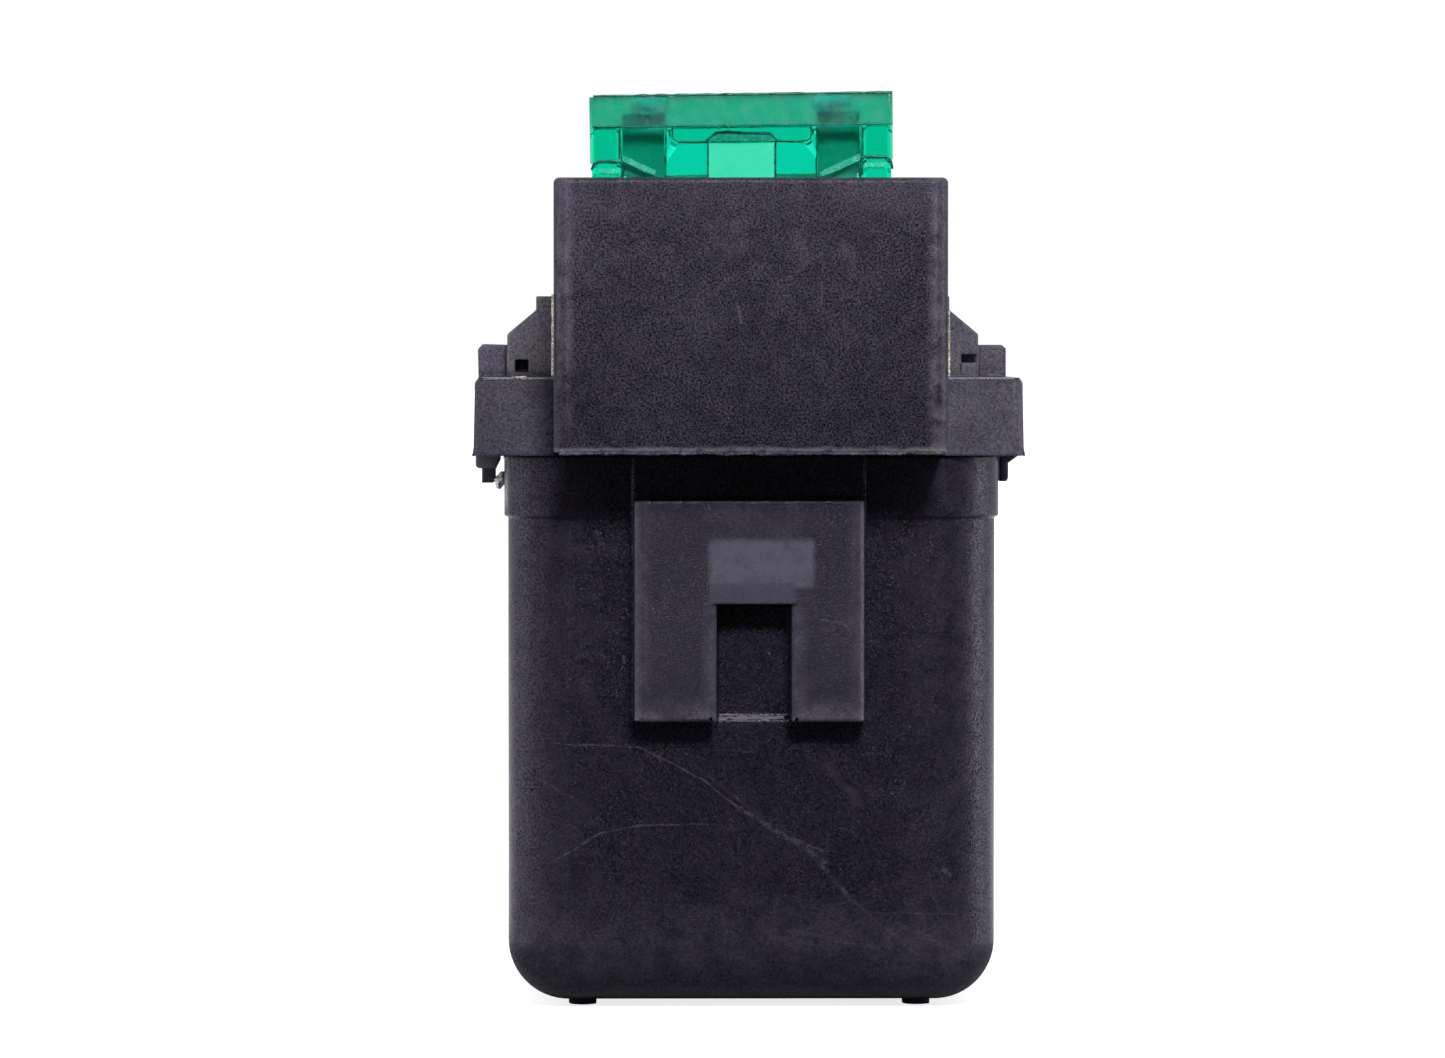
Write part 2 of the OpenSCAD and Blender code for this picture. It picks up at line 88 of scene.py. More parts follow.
def range_node(tree, value, over, to=(0.0, 1.0)):
    """Maps the range `over` smoothly to the range `to`."""
    node = tree.nodes.new("ShaderNodeMapRange")
    node.interpolation_type = "SMOOTHSTEP"
    put(tree, node.inputs["Value"], value)
    for name, limit in zip(("From Min", "From Max", "To Min", "To Max"), (*over, *to)):
        node.inputs[name].default_value = limit
    return node.outputs[0]


def mix_node(tree, factor, first, second):
    node = tree.nodes.new("ShaderNodeMix")
    node.data_type = "RGBA"
    for index, value in ((0, factor), (6, first), (7, second)):
        if isinstance(value, tuple) and len(value) == 3:
            value = (*value, 1)
        put(tree, node.inputs[index], value)
    return node.outputs[2]


def scaled(colour, factor):
    return tuple(c * factor for c in colour)


class Finish:
    """Builds one node material. Positions are the object's own coordinates, in millimetres."""

    def __init__(self, name):
        self.material = bpy.data.materials.new(name)
        self.material.use_nodes = True
        self.tree = self.material.node_tree
        self.tree.nodes.clear()
        self.out = self.tree.nodes.new("ShaderNodeOutputMaterial")
        self.surface = self.tree.nodes.new("ShaderNodeBsdfPrincipled")
        self.tree.links.new(self.surface.outputs[0], self.out.inputs["Surface"])
        self.coords = self.tree.nodes.new("ShaderNodeTexCoord")
        self.place = self.in_mm()

    def in_mm(self):
        return self.vec("MULTIPLY", self.coords.outputs["Object"], (1000, 1000, 1000))

    @cached_property
    def geometry(self):
        return self.tree.nodes.new("ShaderNodeNewGeometry").outputs

    def set(self, name, value):
        put(self.tree, self.surface.inputs[name], value)

    def math(self, operation, first, second=0.0, clamp=False):
        result = math_node(self.tree, operation, first, second, 0.0)
        result.node.use_clamp = clamp
        return result

    def plus(self, first, second, clamp=False):
        return self.math("ADD", first, second, clamp)

    def minus(self, first, second):
        return self.math("SUBTRACT", first, second)

    def times(self, *factors):
        return reduce(lambda a, b: self.math("MULTIPLY", a, b), factors)

    def top(self, *values):
        """The largest of the values."""
        return reduce(lambda a, b: self.math("MAXIMUM", a, b), values)

    def vec(self, operation, first, second=(0, 0, 0), scale=None):
        node = self.tree.nodes.new("ShaderNodeVectorMath")
        node.operation = operation
        put(self.tree, node.inputs[0], first)
        if scale is None:
            put(self.tree, node.inputs[1], second)
        else:
            put(self.tree, node.inputs["Scale"], scale)
        return node.outputs["Value" if operation in ("DOT_PRODUCT", "DISTANCE") else "Vector"]

    def tint(self, colour, by):
        return self.vec("MULTIPLY", colour, by)

    def xyz(self, vector=None):
        node = self.tree.nodes.new("ShaderNodeSeparateXYZ")
        put(self.tree, node.inputs[0], self.place if vector is None else vector)
        return node.outputs

    def noise(self, scale, detail=3.0, rough=0.55, vector=None, warp=0.0, stretch=None,
              shift=None, output=0):
        """Noise value (output 0) or noise colour (output 1)."""
        vector = self.place if vector is None else vector
        if shift:
            vector = self.vec("ADD", vector, shift)
        if stretch:
            vector = self.vec("MULTIPLY", vector, stretch)
        node = self.tree.nodes.new("ShaderNodeTexNoise")
        put(self.tree, node.inputs["Vector"], vector)
        node.inputs["Scale"].default_value = scale
        node.inputs["Detail"].default_value = detail
        node.inputs["Roughness"].default_value = rough
        node.inputs["Distortion"].default_value = warp
        return node.outputs[output]

    def band(self, value, over, to=(0.0, 1.0)):
        return range_node(self.tree, value, over, to)

    def patches(self, scale, over, to=(0.0, 1.0), **options):
        """Noise whose range `over` is mapped smoothly to the range `to`."""
        return self.band(self.noise(scale, **options), over, to)

    def mix(self, factor, first, second):
        return mix_node(self.tree, factor, first, second)

    def bump(self, height, depth, normal=None, strength=1.0):
        node = self.tree.nodes.new("ShaderNodeBump")
        node.inputs["Strength"].default_value = strength
        node.inputs["Distance"].default_value = depth * MM
        put(self.tree, node.inputs["Height"], height)
        if normal is not None:
            put(self.tree, node.inputs["Normal"], normal)
        return node.outputs[0]

    def edges(self, radius):
        """1 near a sharp edge, 0 on flat ground, and the rounded normal."""
        node = self.tree.nodes.new("ShaderNodeBevel")
        node.samples = 4
        node.inputs["Radius"].default_value = radius * MM
        match = self.vec("DOT_PRODUCT", node.outputs[0], self.geometry["Normal"])
        return self.band(self.minus(1.0, match), (0.02, 0.25)), node.outputs[0]

    def facing(self, axis, over=(0.5, 0.8)):
        """1 where the surface faces along an axis."""
        return self.band(self.vec("DOT_PRODUCT", self.geometry["True Normal"], axis), over)

    def wobble(self, scale, amount):
        """A small uneven offset in x and z."""
        cloud = self.noise(scale, detail=2, rough=0.5, output=1)
        centred = self.vec("SUBTRACT", cloud, (0.5, 0.5, 0.5))
        return self.vec("MULTIPLY", centred, (amount, 0, amount))

    @cached_property
    def uneven(self):
        return self.xyz(self.vec("ADD", self.place, self.wobble(scale=2.2, amount=0.30)))

    @cached_property
    def flat(self):
        offset = self.wobble(scale=0.9, amount=0.28)
        return self.vec("ADD", self.vec("MULTIPLY", self.place, (1, 0, 1)), offset)

    def inside(self, x0, x1, z0, z1, soft):
        """1 inside a rectangle in x and z, with a slightly uneven outline."""
        x, _, z = self.uneven
        return self.times(self.band(x, (x0 - soft, x0 + soft)),
                          self.band(x, (x1 - soft, x1 + soft), FALL),
                          self.band(z, (z0 - soft, z0 + soft)),
                          self.band(z, (z1 - soft, z1 + soft), FALL))

    def scratch(self, points, width):
        """1 on a line of points given in x and z, 0 further off than its width."""
        nearest = None
        for (ax, az), (bx, bz) in zip(points, points[1:]):
            along = (bx - ax, 0, bz - az)
            offset = self.vec("SUBTRACT", self.flat, (ax, 0, az))
            share = self.math("DIVIDE", self.vec("DOT_PRODUCT", offset, along),
                              along[0] ** 2 + along[2] ** 2, clamp=True)
            distance = self.vec("DISTANCE", offset, self.vec("SCALE", along, scale=share))
            if nearest is None:
                nearest = distance
            else:
                nearest = self.math("MINIMUM", nearest, distance)
        return self.band(nearest, (width * 0.25, width), FALL)

    def hairlines(self, scale, stretch, turn, width=0.006, level=0.5):
        """Fine stray scratches: thin iso-lines of a stretched noise, broken up."""
        node = self.tree.nodes.new("ShaderNodeVectorRotate")
        node.rotation_type = "EULER_XYZ"
        put(self.tree, node.inputs["Vector"], self.place)
        node.inputs["Rotation"].default_value = turn
        field = self.noise(scale, detail=1.0, rough=0.4, vector=node.outputs[0], stretch=stretch)
        line = self.band(self.math("ABSOLUTE", self.minus(field, level)), (0.0, width), FALL)
        return self.times(line, self.patches(0.35, (0.52, 0.62), detail=2.0, rough=0.6, shift=turn))


# ------------------------------------------------------------------ kinds of finish
def plastic(name, dark, light, rough, dust, scuffs, edge, grain=0.5, marks=(), pads=(),
            fade=None, extra=None, shine=0.42):
    """Black moulded plastic: eroded grain, handling haze, scuffs and rubbed edges.

    marks: (points, width, strength) scratches on the front.
    pads: (rectangle, colour, strength) areas with a bleached, smoother finish, or painted
    highlights.
    fade: ((low z, high z), gain at the low z), painted shade towards the low z. extra: a function
    that adds more colour.
    """
    mat = Finish(name)
    cloud = mat.noise(0.16, detail=4, rough=0.6)
    blotch = mat.noise(0.55, detail=5, rough=0.65, warp=0.4)
    fine = mat.noise(7.5, rough=0.75)
    speck = mat.noise(15.0, detail=2, rough=0.6)
    gain = mat.times(mat.band(fine, (0.31, 0.69), to=(0.02, 2.05)),
                     mat.patches(0.8, (0.33, 0.67), to=(0.86, 1.14), detail=4, rough=0.6))
    # painted shade: colour and sheen darker towards the low z
    if fade:
        heights, low_gain = fade
        gain = mat.times(gain, mat.band(mat.xyz()[2], heights, to=(low_gain, 1.0)))
    haze = mat.plus(mat.band(cloud, (0.38, 0.66), to=(0, 0.55)),
                    mat.band(blotch, (0.42, 0.70), to=(0, 0.45)))
    haze = mat.times(haze, dust)
    haze = mat.plus(haze, mat.band(speck, (0.55, 0.75), to=(0, 0.16)), clamp=True)
    cast = mat.patches(0.45, (0.36, 0.64), rough=0.6, shift=(31, 7, 19))
    colour = mat.tint(mat.mix(haze, dark, light),
                      mat.mix(cast, (1.12, 1.06, 0.88), (0.90, 0.94, 1.12)))
    colour = mat.tint(colour, gain)

    scratches = mat.times(mat.top(
        mat.hairlines(1.4, stretch=(1.0, 1.0, 0.09), turn=(0.2, 0.5, 0.3)),
        mat.hairlines(1.7, stretch=(0.08, 1.0, 1.0), turn=(0.4, 0.15, 0.9), width=0.005),
        mat.hairlines(2.4, stretch=(0.14, 0.14, 1.0), turn=(1.2, -0.7, 0.2), level=0.47),
    ), 0.35 * scuffs)
    if marks:
        cuts = mat.top(*[mat.times(mat.scratch(points, width), strength)
                         for points, width, strength in marks])
        cuts = mat.times(cuts, mat.patches(1.6, (0.34, 0.60), to=(0.25, 1.0), rough=0.7))
        scratches = mat.top(scratches, mat.times(cuts, mat.facing(FORWARD)))
    rims, rounded = mat.edges(radius=0.16)
    patchy = mat.patches(1.3, (0.40, 0.66), to=(0.15, 1.0), detail=4, rough=0.7)
    wear = mat.times(rims, patchy, edge)
    scratch_colour = tuple(min(1.0, c * 3.4 + 0.012) for c in light)
    colour = mat.mix(scratches, colour, scratch_colour)
    colour = mat.mix(mat.times(wear, 0.6), colour, scaled(light, 2.0))

    roughness = mat.plus(rough, mat.times(mat.minus(blotch, 0.5), 0.11))
    for box, pad_colour, strength in pads:
        pad = mat.times(mat.inside(*box), mat.facing(FORWARD, (0.3, 0.5)),
                        mat.patches(1.1, (0.25, 0.60), to=(0.60, 1.0), detail=4, rough=0.6))
        colour = mat.mix(mat.times(pad, strength), colour, pad_colour)
        roughness = mat.minus(roughness, mat.times(pad, 0.05))
    if extra:
        colour = extra(mat, colour)
    mat.set("Base Color", colour)
    mat.set("Roughness", mat.plus(roughness, mat.times(scratches, 0.12), clamp=True))
    mat.set("IOR", 1.49)
    mat.set("Specular IOR Level", mat.times(gain, shine))
    mat.set("Specular Tint", (0.90, 0.82, 1.0, 1.0))
    height = mat.plus(mat.times(fine, 0.7), mat.times(speck, 0.3))
    normal = mat.bump(height, depth=0.030 * grain, normal=rounded)
    swell = mat.noise(0.09, detail=2, rough=0.5)
    mat.set("Normal", mat.bump(swell, depth=0.25, normal=normal, strength=0.5))
    return mat


def metal(name, base, dark, rough, brush=(1, 1, 0.05), tarnish=0.5, metallic=1.0, scale=3.0):
    """Plated or bare metal with brushing, tarnish and small dings."""
    mat = Finish(name)
    cloud = mat.patches(0.45, (0.42, 0.72), detail=5, rough=0.65, warp=0.5)
    lines = mat.noise(scale, detail=4, rough=0.7, stretch=brush)
    dull = mat.times(cloud, tarnish)
    colour = mat.mix(dull, base, dark)
    colour = mat.mix(mat.band(lines, (0.35, 0.75), to=(0, 0.22)), colour, scaled(base, 0.6))
    rims, rounded = mat.edges(radius=0.10)
    bright = tuple(min(1, c * 1.25) for c in base)
    mat.set("Base Color", mat.mix(mat.times(rims, 0.35), colour, bright))
    mat.set("Metallic", metallic)
    uneven = mat.plus(mat.times(dull, 0.3), mat.band(lines, (0.3, 0.7), to=(-0.05, 0.10)))
    mat.set("Roughness", mat.plus(rough, uneven, clamp=True))
    normal = mat.bump(lines, depth=0.006, normal=rounded)
    mat.set("Normal", mat.bump(mat.noise(12.0, rough=0.6), depth=0.004, normal=normal))
    return mat.material


def fuse_plastic():
    """Clear green plastic: colour deepens with thickness; the cap is frosted and smudged, and
    painted purple-grey where the metal heads show through it.
    """
    mat = Finish("fuse_green")
    tone = mat.patches(0.5, (0.4, 0.7), to=(0, 0.6), detail=4, rough=0.6)
    colour = mat.mix(tone, (0.90, 1.0, 0.84), (0.74, 0.95, 0.74))
    cap = mat.band(mat.xyz()[2], (56.35, 56.60))
    smear = mat.times(mat.patches(0.55, (0.40, 0.62), to=(0.1, 1.0), rough=0.6), cap)
    # painted: the metal heads showing through the cap, as purple-grey blobs
    blobs = mat.top(mat.inside(x0=-7.4, x1=-5.2, z0=56.6, z1=57.7, soft=0.5),
                    mat.inside(x0=4.1, x1=5.9, z0=57.0, z1=58.1, soft=0.5))
    blobs = mat.times(blobs, mat.patches(2.5, (0.35, 0.6), to=(0.2, 0.9), rough=0.7))
    colour = mat.mix(mat.times(cap, 0.9), colour, (0.42, 0.97, 0.93))
    colour = mat.mix(mat.times(smear, 0.35), colour, (0.50, 0.80, 0.86))
    mat.set("Base Color", mat.mix(blobs, colour, (0.45, 0.48, 0.62)))
    mat.set("Transmission Weight", 1.0)
    mat.set("IOR", 1.50)
    mat.set("Specular IOR Level", mat.minus(0.40, mat.times(cap, 0.28)))
    rough = mat.patches(1.5, (0.35, 0.7), to=(0.02, 0.12), detail=4, rough=0.6)
    mat.set("Roughness", mat.plus(rough, mat.times(cap, 0.24)))
    normal = mat.bump(mat.noise(0.8, rough=0.5), depth=0.02)
    mat.set("Normal", mat.bump(mat.noise(7.0, rough=0.6), depth=0.003, normal=normal))
    volume = mat.tree.nodes.new("ShaderNodeVolumeAbsorption")
    volume.inputs["Color"].default_value = (0.0, 0.930, 0.885, 1)
    volume.inputs["Density"].default_value = 2500.0
    mat.tree.links.new(volume.outputs[0], mat.out.inputs["Volume"])
    return mat.material


def green_detail(name, dark, light, clear):
    """Thin beads and facets of the same green plastic."""
    mat = Finish(name)
    tone = mat.patches(2.2, (0.35, 0.65), detail=4, rough=0.65)
    mat.set("Base Color", mat.mix(tone, dark, light))
    mat.set("Transmission Weight", clear)
    mat.set("Specular IOR Level", 0.15)
    mat.set("Roughness", mat.patches(3.0, (0.3, 0.7), to=(0.14, 0.34), rough=0.6))
    mat.set("Normal", mat.bump(mat.noise(9.0, rough=0.6), depth=0.006))
    return mat.material


def rubber(name, base):
    mat = Finish(name)
    tone = mat.patches(0.8, (0.4, 0.7), detail=5, rough=0.6)
    mat.set("Base Color", mat.mix(tone, base, scaled(base, 1.8)))
    mat.set("Roughness", mat.patches(4.0, (0.3, 0.7), to=(0.62, 0.85), rough=0.6))
    mat.set("Normal", mat.bump(mat.noise(7.0, detail=4, rough=0.6), depth=0.03))
    return mat.material


def moulded(name, base, light, rough=0.45):
    """Plain plastic or phenolic with faint flow marks."""
    mat = Finish(name)
    flow = mat.patches(0.4, (0.35, 0.7), detail=4, rough=0.6, warp=1.2, stretch=(1, 1, 0.4))
    mat.set("Base Color", mat.mix(flow, base, light))
    spread = (rough - 0.08, rough + 0.12)
    mat.set("Roughness", mat.patches(3.0, (0.3, 0.7), to=spread, rough=0.6))
    mat.set("Normal", mat.bump(mat.noise(10.0, rough=0.6), depth=0.008))
    return mat.material


def sealant_clear():
    mat = Finish("sealant_clear")
    tone = mat.patches(2.0, (0.35, 0.65), detail=4, rough=0.6)
    mat.set("Base Color", mat.mix(tone, (0.52, 0.52, 0.53), (0.80, 0.80, 0.80)))
    mat.set("Roughness", mat.patches(4.0, (0.3, 0.7), to=(0.18, 0.42), rough=0.6))
    mat.set("Normal", mat.bump(mat.noise(3.0, detail=4, rough=0.6), depth=0.03))
    return mat.material


# ------------------------------------------------------------------ case and header finishes
# Scratches, and one painted highlight: points (x, z), width, strength.
CASE_MARKS = [
    ([(-12.6, 17.2), (-7.0, 16.9), (-3.0, 14.9), (-0.6, 13.0)], 0.11, 0.55),
    ([(-0.6, 13.0), (2.2, 11.3), (4.9, 9.6)], 0.28, 0.50),
    ([(-3.4, 15.7), (0.9, 12.4)], 0.20, 0.32),
    ([(2.2, 11.3), (4.7, 10.3)], 0.13, 0.65),
    ([(3.6, 10.6), (6.5, 7.2)], 0.24, 0.42),
    ([(6.4, 7.3), (9.4, 4.8), (10.8, 3.6)], 0.16, 0.45),
    ([(9.4, 5.6), (14.9, 3.1)], 0.26, 0.35),
    ([(13.0, 3.7), (14.0, 3.2)], 0.13, 0.8),
    ([(8.0, 5.9), (11.6, 3.4)], 0.55, 0.20),
    ([(4.6, 16.0), (7.1, 13.4)], 0.40, 0.22),
    ([(-13.6, 14.9), (-11.3, 13.7)], 0.16, 0.5),
    ([(2.4, 5.2), (8.2, 4.0)], 0.22, 0.25),
    ([(-12.5, 9.6), (-9.6, 11.4), (-7.0, 11.9), (-2.6, 12.0)], 0.11, 0.6),
    ([(-3.1, 16.8), (0.8, 16.6)], 0.08, 0.35),
    ([(8.4, 6.3), (13.5, 6.2)], 0.10, 0.4),
    ([(12.55, 9.05), (12.95, 8.7)], 0.22, 1.0),
    ([(11.9, 2.2), (12.0, 2.1)], 0.16, 0.8),
    ([(-8.05, 22.75), (-8.0, 22.35)], 0.12, 1.0),
    ([(4.7, 25.2), (6.0, 25.0), (6.5, 24.3)], 0.12, 0.7),
    ([(1.25, 23.0), (1.3, 22.9)], 0.12, 0.8),
    ([(-2.62, 32.5), (-2.58, 32.25)], 0.13, 1.0),
    # painted highlight along the loop's lit top edge
    ([(-0.3, 32.66), (1.3, 32.68)], 0.10, 1.0),
]
HEADER_MARKS = [
    ([(-0.85, 45.3), (-0.72, 44.7), (-0.6, 44.1)], 0.16, 0.8),
    ([(1.35, 44.7), (1.5, 44.4)], 0.15, 0.6),
    ([(4.40, 46.6), (4.46, 46.0), (4.42, 45.3)], 0.10, 0.8),
    ([(-5.45, 40.95), (-5.36, 40.88)], 0.16, 1.0),
    ([(-8.2, 47.3), (-7.9, 46.9)], 0.12, 0.6),
    ([(-5.5, 47.2), (-5.5, 46.9)], 0.12, 0.6),
    ([(-2.6, 45.8), (-1.8, 46.6), (-0.9, 47.3)], 0.22, 0.35),
    ([(2.4, 46.9), (3.6, 47.9), (4.4, 48.4)], 0.16, 0.3),
    ([(7.9, 38.6), (8.0, 37.9)], 0.10, 0.45),
    ([(-9.4, 51.3), (-8.5, 51.0), (-7.2, 51.1)], 0.10, 0.35),
]
# Bleached pads, and one painted highlight: (x0, x1, z0, z1, softness of the outline), colour,
# strength.
CASE_PADS = [
    ((-2.55, 4.1, 27.3, 30.3, 0.26), (0.090, 0.090, 0.122), 0.95),
    ((-2.55, 2.9, 26.2, 27.6, 0.16), (0.046, 0.044, 0.062), 0.9),
    # painted highlight: the lit ledge at the foot of the loop's slot
    ((-1.95, 2.25, 18.72, 18.90, 0.04), (0.21, 0.20, 0.235), 0.85),
]


def case_wear_and_sheen(mat, colour):
    """Paler rubbing on the mounting loop, partly painted highlight; painted reflection on the box's
    lower part and corners; a painted highlight at its left top corner.
    """
    x, y, z = mat.xyz()
    # outline and slot of the loop's legs, ahead of the box
    ahead = mat.band(y, (-14.2, -13.9), FALL)
    side = mat.math("ABSOLUTE", x)
    foot = mat.band(z, (18.7, 20.6), FALL)
    rim = mat.times(mat.band(side, (6.0, 7.0)), 0.55)
    slot = mat.times(mat.band(mat.math("ABSOLUTE", mat.minus(x, 0.3)), (2.5, 3.7), FALL),
                     mat.band(z, (25.6, 26.4), to=(0.7, 0.2)))
    # rubbing, with painted highlight on the loop's outer edges, slot sides and leg bottoms
    rub_and_sheen = mat.times(mat.top(foot, rim, slot), ahead,
                    mat.patches(0.7, (0.34, 0.62), to=(0.30, 1.0), detail=4, rough=0.65),
                    mat.patches(6.0, (0.32, 0.66), to=(0.45, 1.25), rough=0.7))
    rub_and_sheen = mat.plus(mat.times(ahead, 0.22), mat.times(rub_and_sheen, 0.80), clamp=True)
    colour = mat.mix(rub_and_sheen, colour, (0.070, 0.066, 0.083))
    # painted reflection: the box paler towards its lower edge and on its rounded corners
    base = mat.plus(mat.band(z, (3.5, 9.0), to=(0.40, 0.09)),
                    mat.band(side, (8.0, 13.0), to=(0.0, 0.18)))
    base = mat.times(mat.top(mat.band(z, (1.0, 2.0), to=(0.9, 0.0)), base),
                     mat.patches(0.6, (0.32, 0.64), to=(0.45, 1.0), detail=4, rough=0.65),
                     mat.patches(6.0, (0.32, 0.66), to=(0.55, 1.25), rough=0.7))
    colour = mat.mix(base, colour, (0.050, 0.046, 0.062))
    # painted highlight: a glint on a lip at the left, near the top
    lip = mat.times(mat.band(x, (-15.62, -15.34), FALL), mat.band(y, (-7.6, -7.0), FALL),
                    mat.band(z, (31.8, 32.6)),
                    mat.patches(1.2, (0.36, 0.60), to=(0.35, 1.0), rough=0.6))
    return mat.mix(lip, colour, (0.30, 0.27, 0.30))


def case_finish():
    return plastic("case_black", dark=(0.0026, 0.0021, 0.0052), light=(0.0068, 0.0058, 0.0112),
                   rough=0.23, grain=0.8, dust=0.8, marks=CASE_MARKS, scuffs=0.9, edge=0.7,
                   pads=CASE_PADS, extra=case_wear_and_sheen, shine=0.31).material


def header_finish():
    # painted shade on the tower's face, darker towards its bottom (fade)
    mat = plastic("header_black", dark=(0.0034, 0.0031, 0.0058), light=(0.0100, 0.0092, 0.0150),
                  rough=0.34, grain=1.0, dust=0.9, marks=HEADER_MARKS, scuffs=0.9, edge=0.6,
                  fade=((37.0, 47.0), 0.80), shine=0.31)
    mat.place = mat.in_mm()
    colour = mat.surface.inputs["Base Color"].links[0].from_socket
    x, y, z = mat.xyz()
    front = (0.2, 0.6)      # how squarely a surface must face forward

    def by_side(left, right):
        return mat.mix(mat.band(x, (-5, 5)), left, right)

    # the ears, side blocks and partition wall are duller and paler than the tower
    amount = mat.times(mat.band(mat.math("ABSOLUTE", x), (12.42, 12.62)),
                       mat.facing(FORWARD, front), mat.band(x, (0.0, 14.0), to=(0.70, 1.0)),
                       mat.patches(0.28, (0.25, 0.65), to=(0.62, 0.95), detail=4, rough=0.6))
    # painted light: the blocks and the partition wall above the ears get paler colours, the left
    # ones most
    above = mat.times(mat.band(z, (40.7, 41.2)), mat.band(x, (0.0, -12.0), to=(0.35, 1.0)))
    sides = mat.mix(mat.band(y, (2.9, 3.2)),
                    by_side((0.205, 0.195, 0.235), (0.100, 0.108, 0.135)),
                    by_side((0.125, 0.112, 0.138), (0.064, 0.058, 0.074)))
    pale = mat.mix(above, (0.066, 0.064, 0.080), sides)
    pale = mat.tint(pale, mat.patches(6.5, (0.31, 0.69), to=(0.50, 1.50), rough=0.75))
    tinge = mat.patches(0.22, (0.38, 0.62), detail=2, rough=0.5, shift=(5, 0, 9))
    pale = mat.tint(pale, mat.mix(tinge, (1.06, 1.04, 0.92), (0.95, 0.98, 1.06)))
    colour = mat.mix(amount, colour, pale)
    # painted highlight on the front edge of the ears' tops
    lid = mat.times(mat.facing(UPWARD, (0.25, 0.6)), mat.band(z, (40.7, 40.9), FALL),
                    mat.band(y, (-11.75, -11.2), FALL))
    colour = mat.mix(mat.times(lid, 0.8), colour, (0.17, 0.165, 0.17))
    # painted light on the snap legs below the ears, most on the left leg's upper part
    under = mat.times(mat.band(z, (35.45, 35.55), to=(0.85, 0.0)),
                      mat.band(mat.math("ABSOLUTE", x), (15.9, 15.94)),
                      mat.facing(FORWARD, front))
    left_leg = mat.mix(mat.band(z, (34.6, 34.8)), (0.060, 0.056, 0.080), (0.18, 0.175, 0.19))
    colour = mat.mix(under, colour, by_side(left_leg, (0.075, 0.068, 0.105)))
    # painted highlight, mottled like rubbing, in bands along the tower's upright front edges
    wide = mat.math("ABSOLUTE", x)
    rub_and_sheen = mat.times(mat.band(wide, (10.9, 11.6)), mat.band(wide, (12.05, 12.35), FALL),
                    mat.band(y, (-19.3, -18.9), FALL),
                    mat.patches(0.75, (0.34, 0.62), to=(0.15, 1.0), detail=5, rough=0.7),
                    mat.top(mat.band(z, (38.0, 46.0), to=(0.35, 1.0)), mat.band(x, (0.0, 5.0))))
    colour = mat.mix(mat.times(rub_and_sheen, 0.85), colour, (0.078, 0.070, 0.094))
    # paler clouds on the upper part of the face
    crown = mat.times(mat.band(z, (49.6, 52.6)),
                      mat.patches(0.35, (0.30, 0.62), to=(0.45, 1.0), detail=4, rough=0.6),
                      mat.band(wide, (5.0, 12.0), to=(0.55, 1.15)))
    veil = mat.times(mat.patches(0.22, (0.50, 0.70), detail=4, rough=0.6, shift=(2, 0, 11)),
                     mat.band(z, (40.0, 46.0)))
    veil = mat.times(mat.top(crown, mat.times(veil, 0.9)), mat.facing(FORWARD, front),
                     mat.band(wide, (12.42, 12.5), FALL))
    colour = mat.mix(mat.times(veil, 0.38), colour, (0.062, 0.058, 0.078))
    # worn, slightly yellowed line along the tower's lower edge
    waver = mat.minus(mat.noise(0.55, detail=4, rough=0.65), 0.5)
    low = mat.plus(z, mat.times(waver, 0.9))
    line = mat.times(mat.band(low, (36.10, 36.38), FALL), mat.facing(FORWARD, front),
                     mat.band(y, (-19.4, -19.0), FALL),
                     mat.patches(1.1, (0.32, 0.55), to=(0.25, 1.0), detail=4, rough=0.7))
    yellowed = mat.mix(mat.patches(0.22, (0.52, 0.66), detail=2, rough=0.5),
                       (0.115, 0.12, 0.15), (0.17, 0.16, 0.115))
    mat.set("Base Color", mat.mix(mat.times(line, 0.7), colour, yellowed))
    return mat.material


# ------------------------------------------------------------------ painting the CAD pieces
case_black = case_finish()
header_black = header_finish()
LENGTHWISE = (0.2, 0.2, 3.0)    # brushing of turned parts
# Metals: base colour, tarnished colour, roughness.
steel = metal("zinc_plated_steel", (0.52, 0.52, 0.51), (0.25, 0.24, 0.22), rough=0.34)
turned = metal("turned_steel", (0.46, 0.46, 0.47), (0.22, 0.22, 0.22), rough=0.26,
               brush=LENGTHWISE, scale=5.0)
wire_steel = metal("spring_wire", (0.42, 0.42, 0.44), (0.20, 0.19, 0.18), rough=0.22)
brass = metal("turned_brass", (0.68, 0.50, 0.22), (0.36, 0.24, 0.10), rough=0.25,
              brush=LENGTHWISE)
copper = metal("bare_copper", (0.72, 0.36, 0.22), (0.32, 0.14, 0.09), rough=0.32, tarnish=0.7)
enamel = metal("enamelled_wire", (0.62, 0.22, 0.09), (0.40, 0.12, 0.05), rough=0.24,
               brush=(1, 1, 1), metallic=0.85)
studs = metal("stud_plating", (0.60, 0.47, 0.30), (0.30, 0.22, 0.15), rough=0.36, tarnish=0.8,
              brush=(1, 1, 0.3))
plating = metal("nut_plating", (0.62, 0.60, 0.52), (0.34, 0.31, 0.24), rough=0.28, tarnish=0.7,
                brush=(1, 1, 0.4))
tinned = metal("tinned_brass", (0.66, 0.65, 0.61), (0.38, 0.35, 0.28), rough=0.30)
fuse_metal = metal("fuse_zinc", (0.50, 0.51, 0.50), (0.34, 0.35, 0.34), rough=0.45, tarnish=0.3)
green = fuse_plastic()
nylon = moulded("bobbin_nylon", (0.60, 0.56, 0.46), (0.74, 0.71, 0.62))
phenolic = moulded("phenolic", (0.13, 0.055, 0.025), (0.22, 0.10, 0.05))
seal = rubber("seal_rubber", (0.03, 0.028, 0.027))
epoxy = moulded("diode_epoxy", (0.012, 0.012, 0.013), (0.03, 0.03, 0.03), rough=0.3)


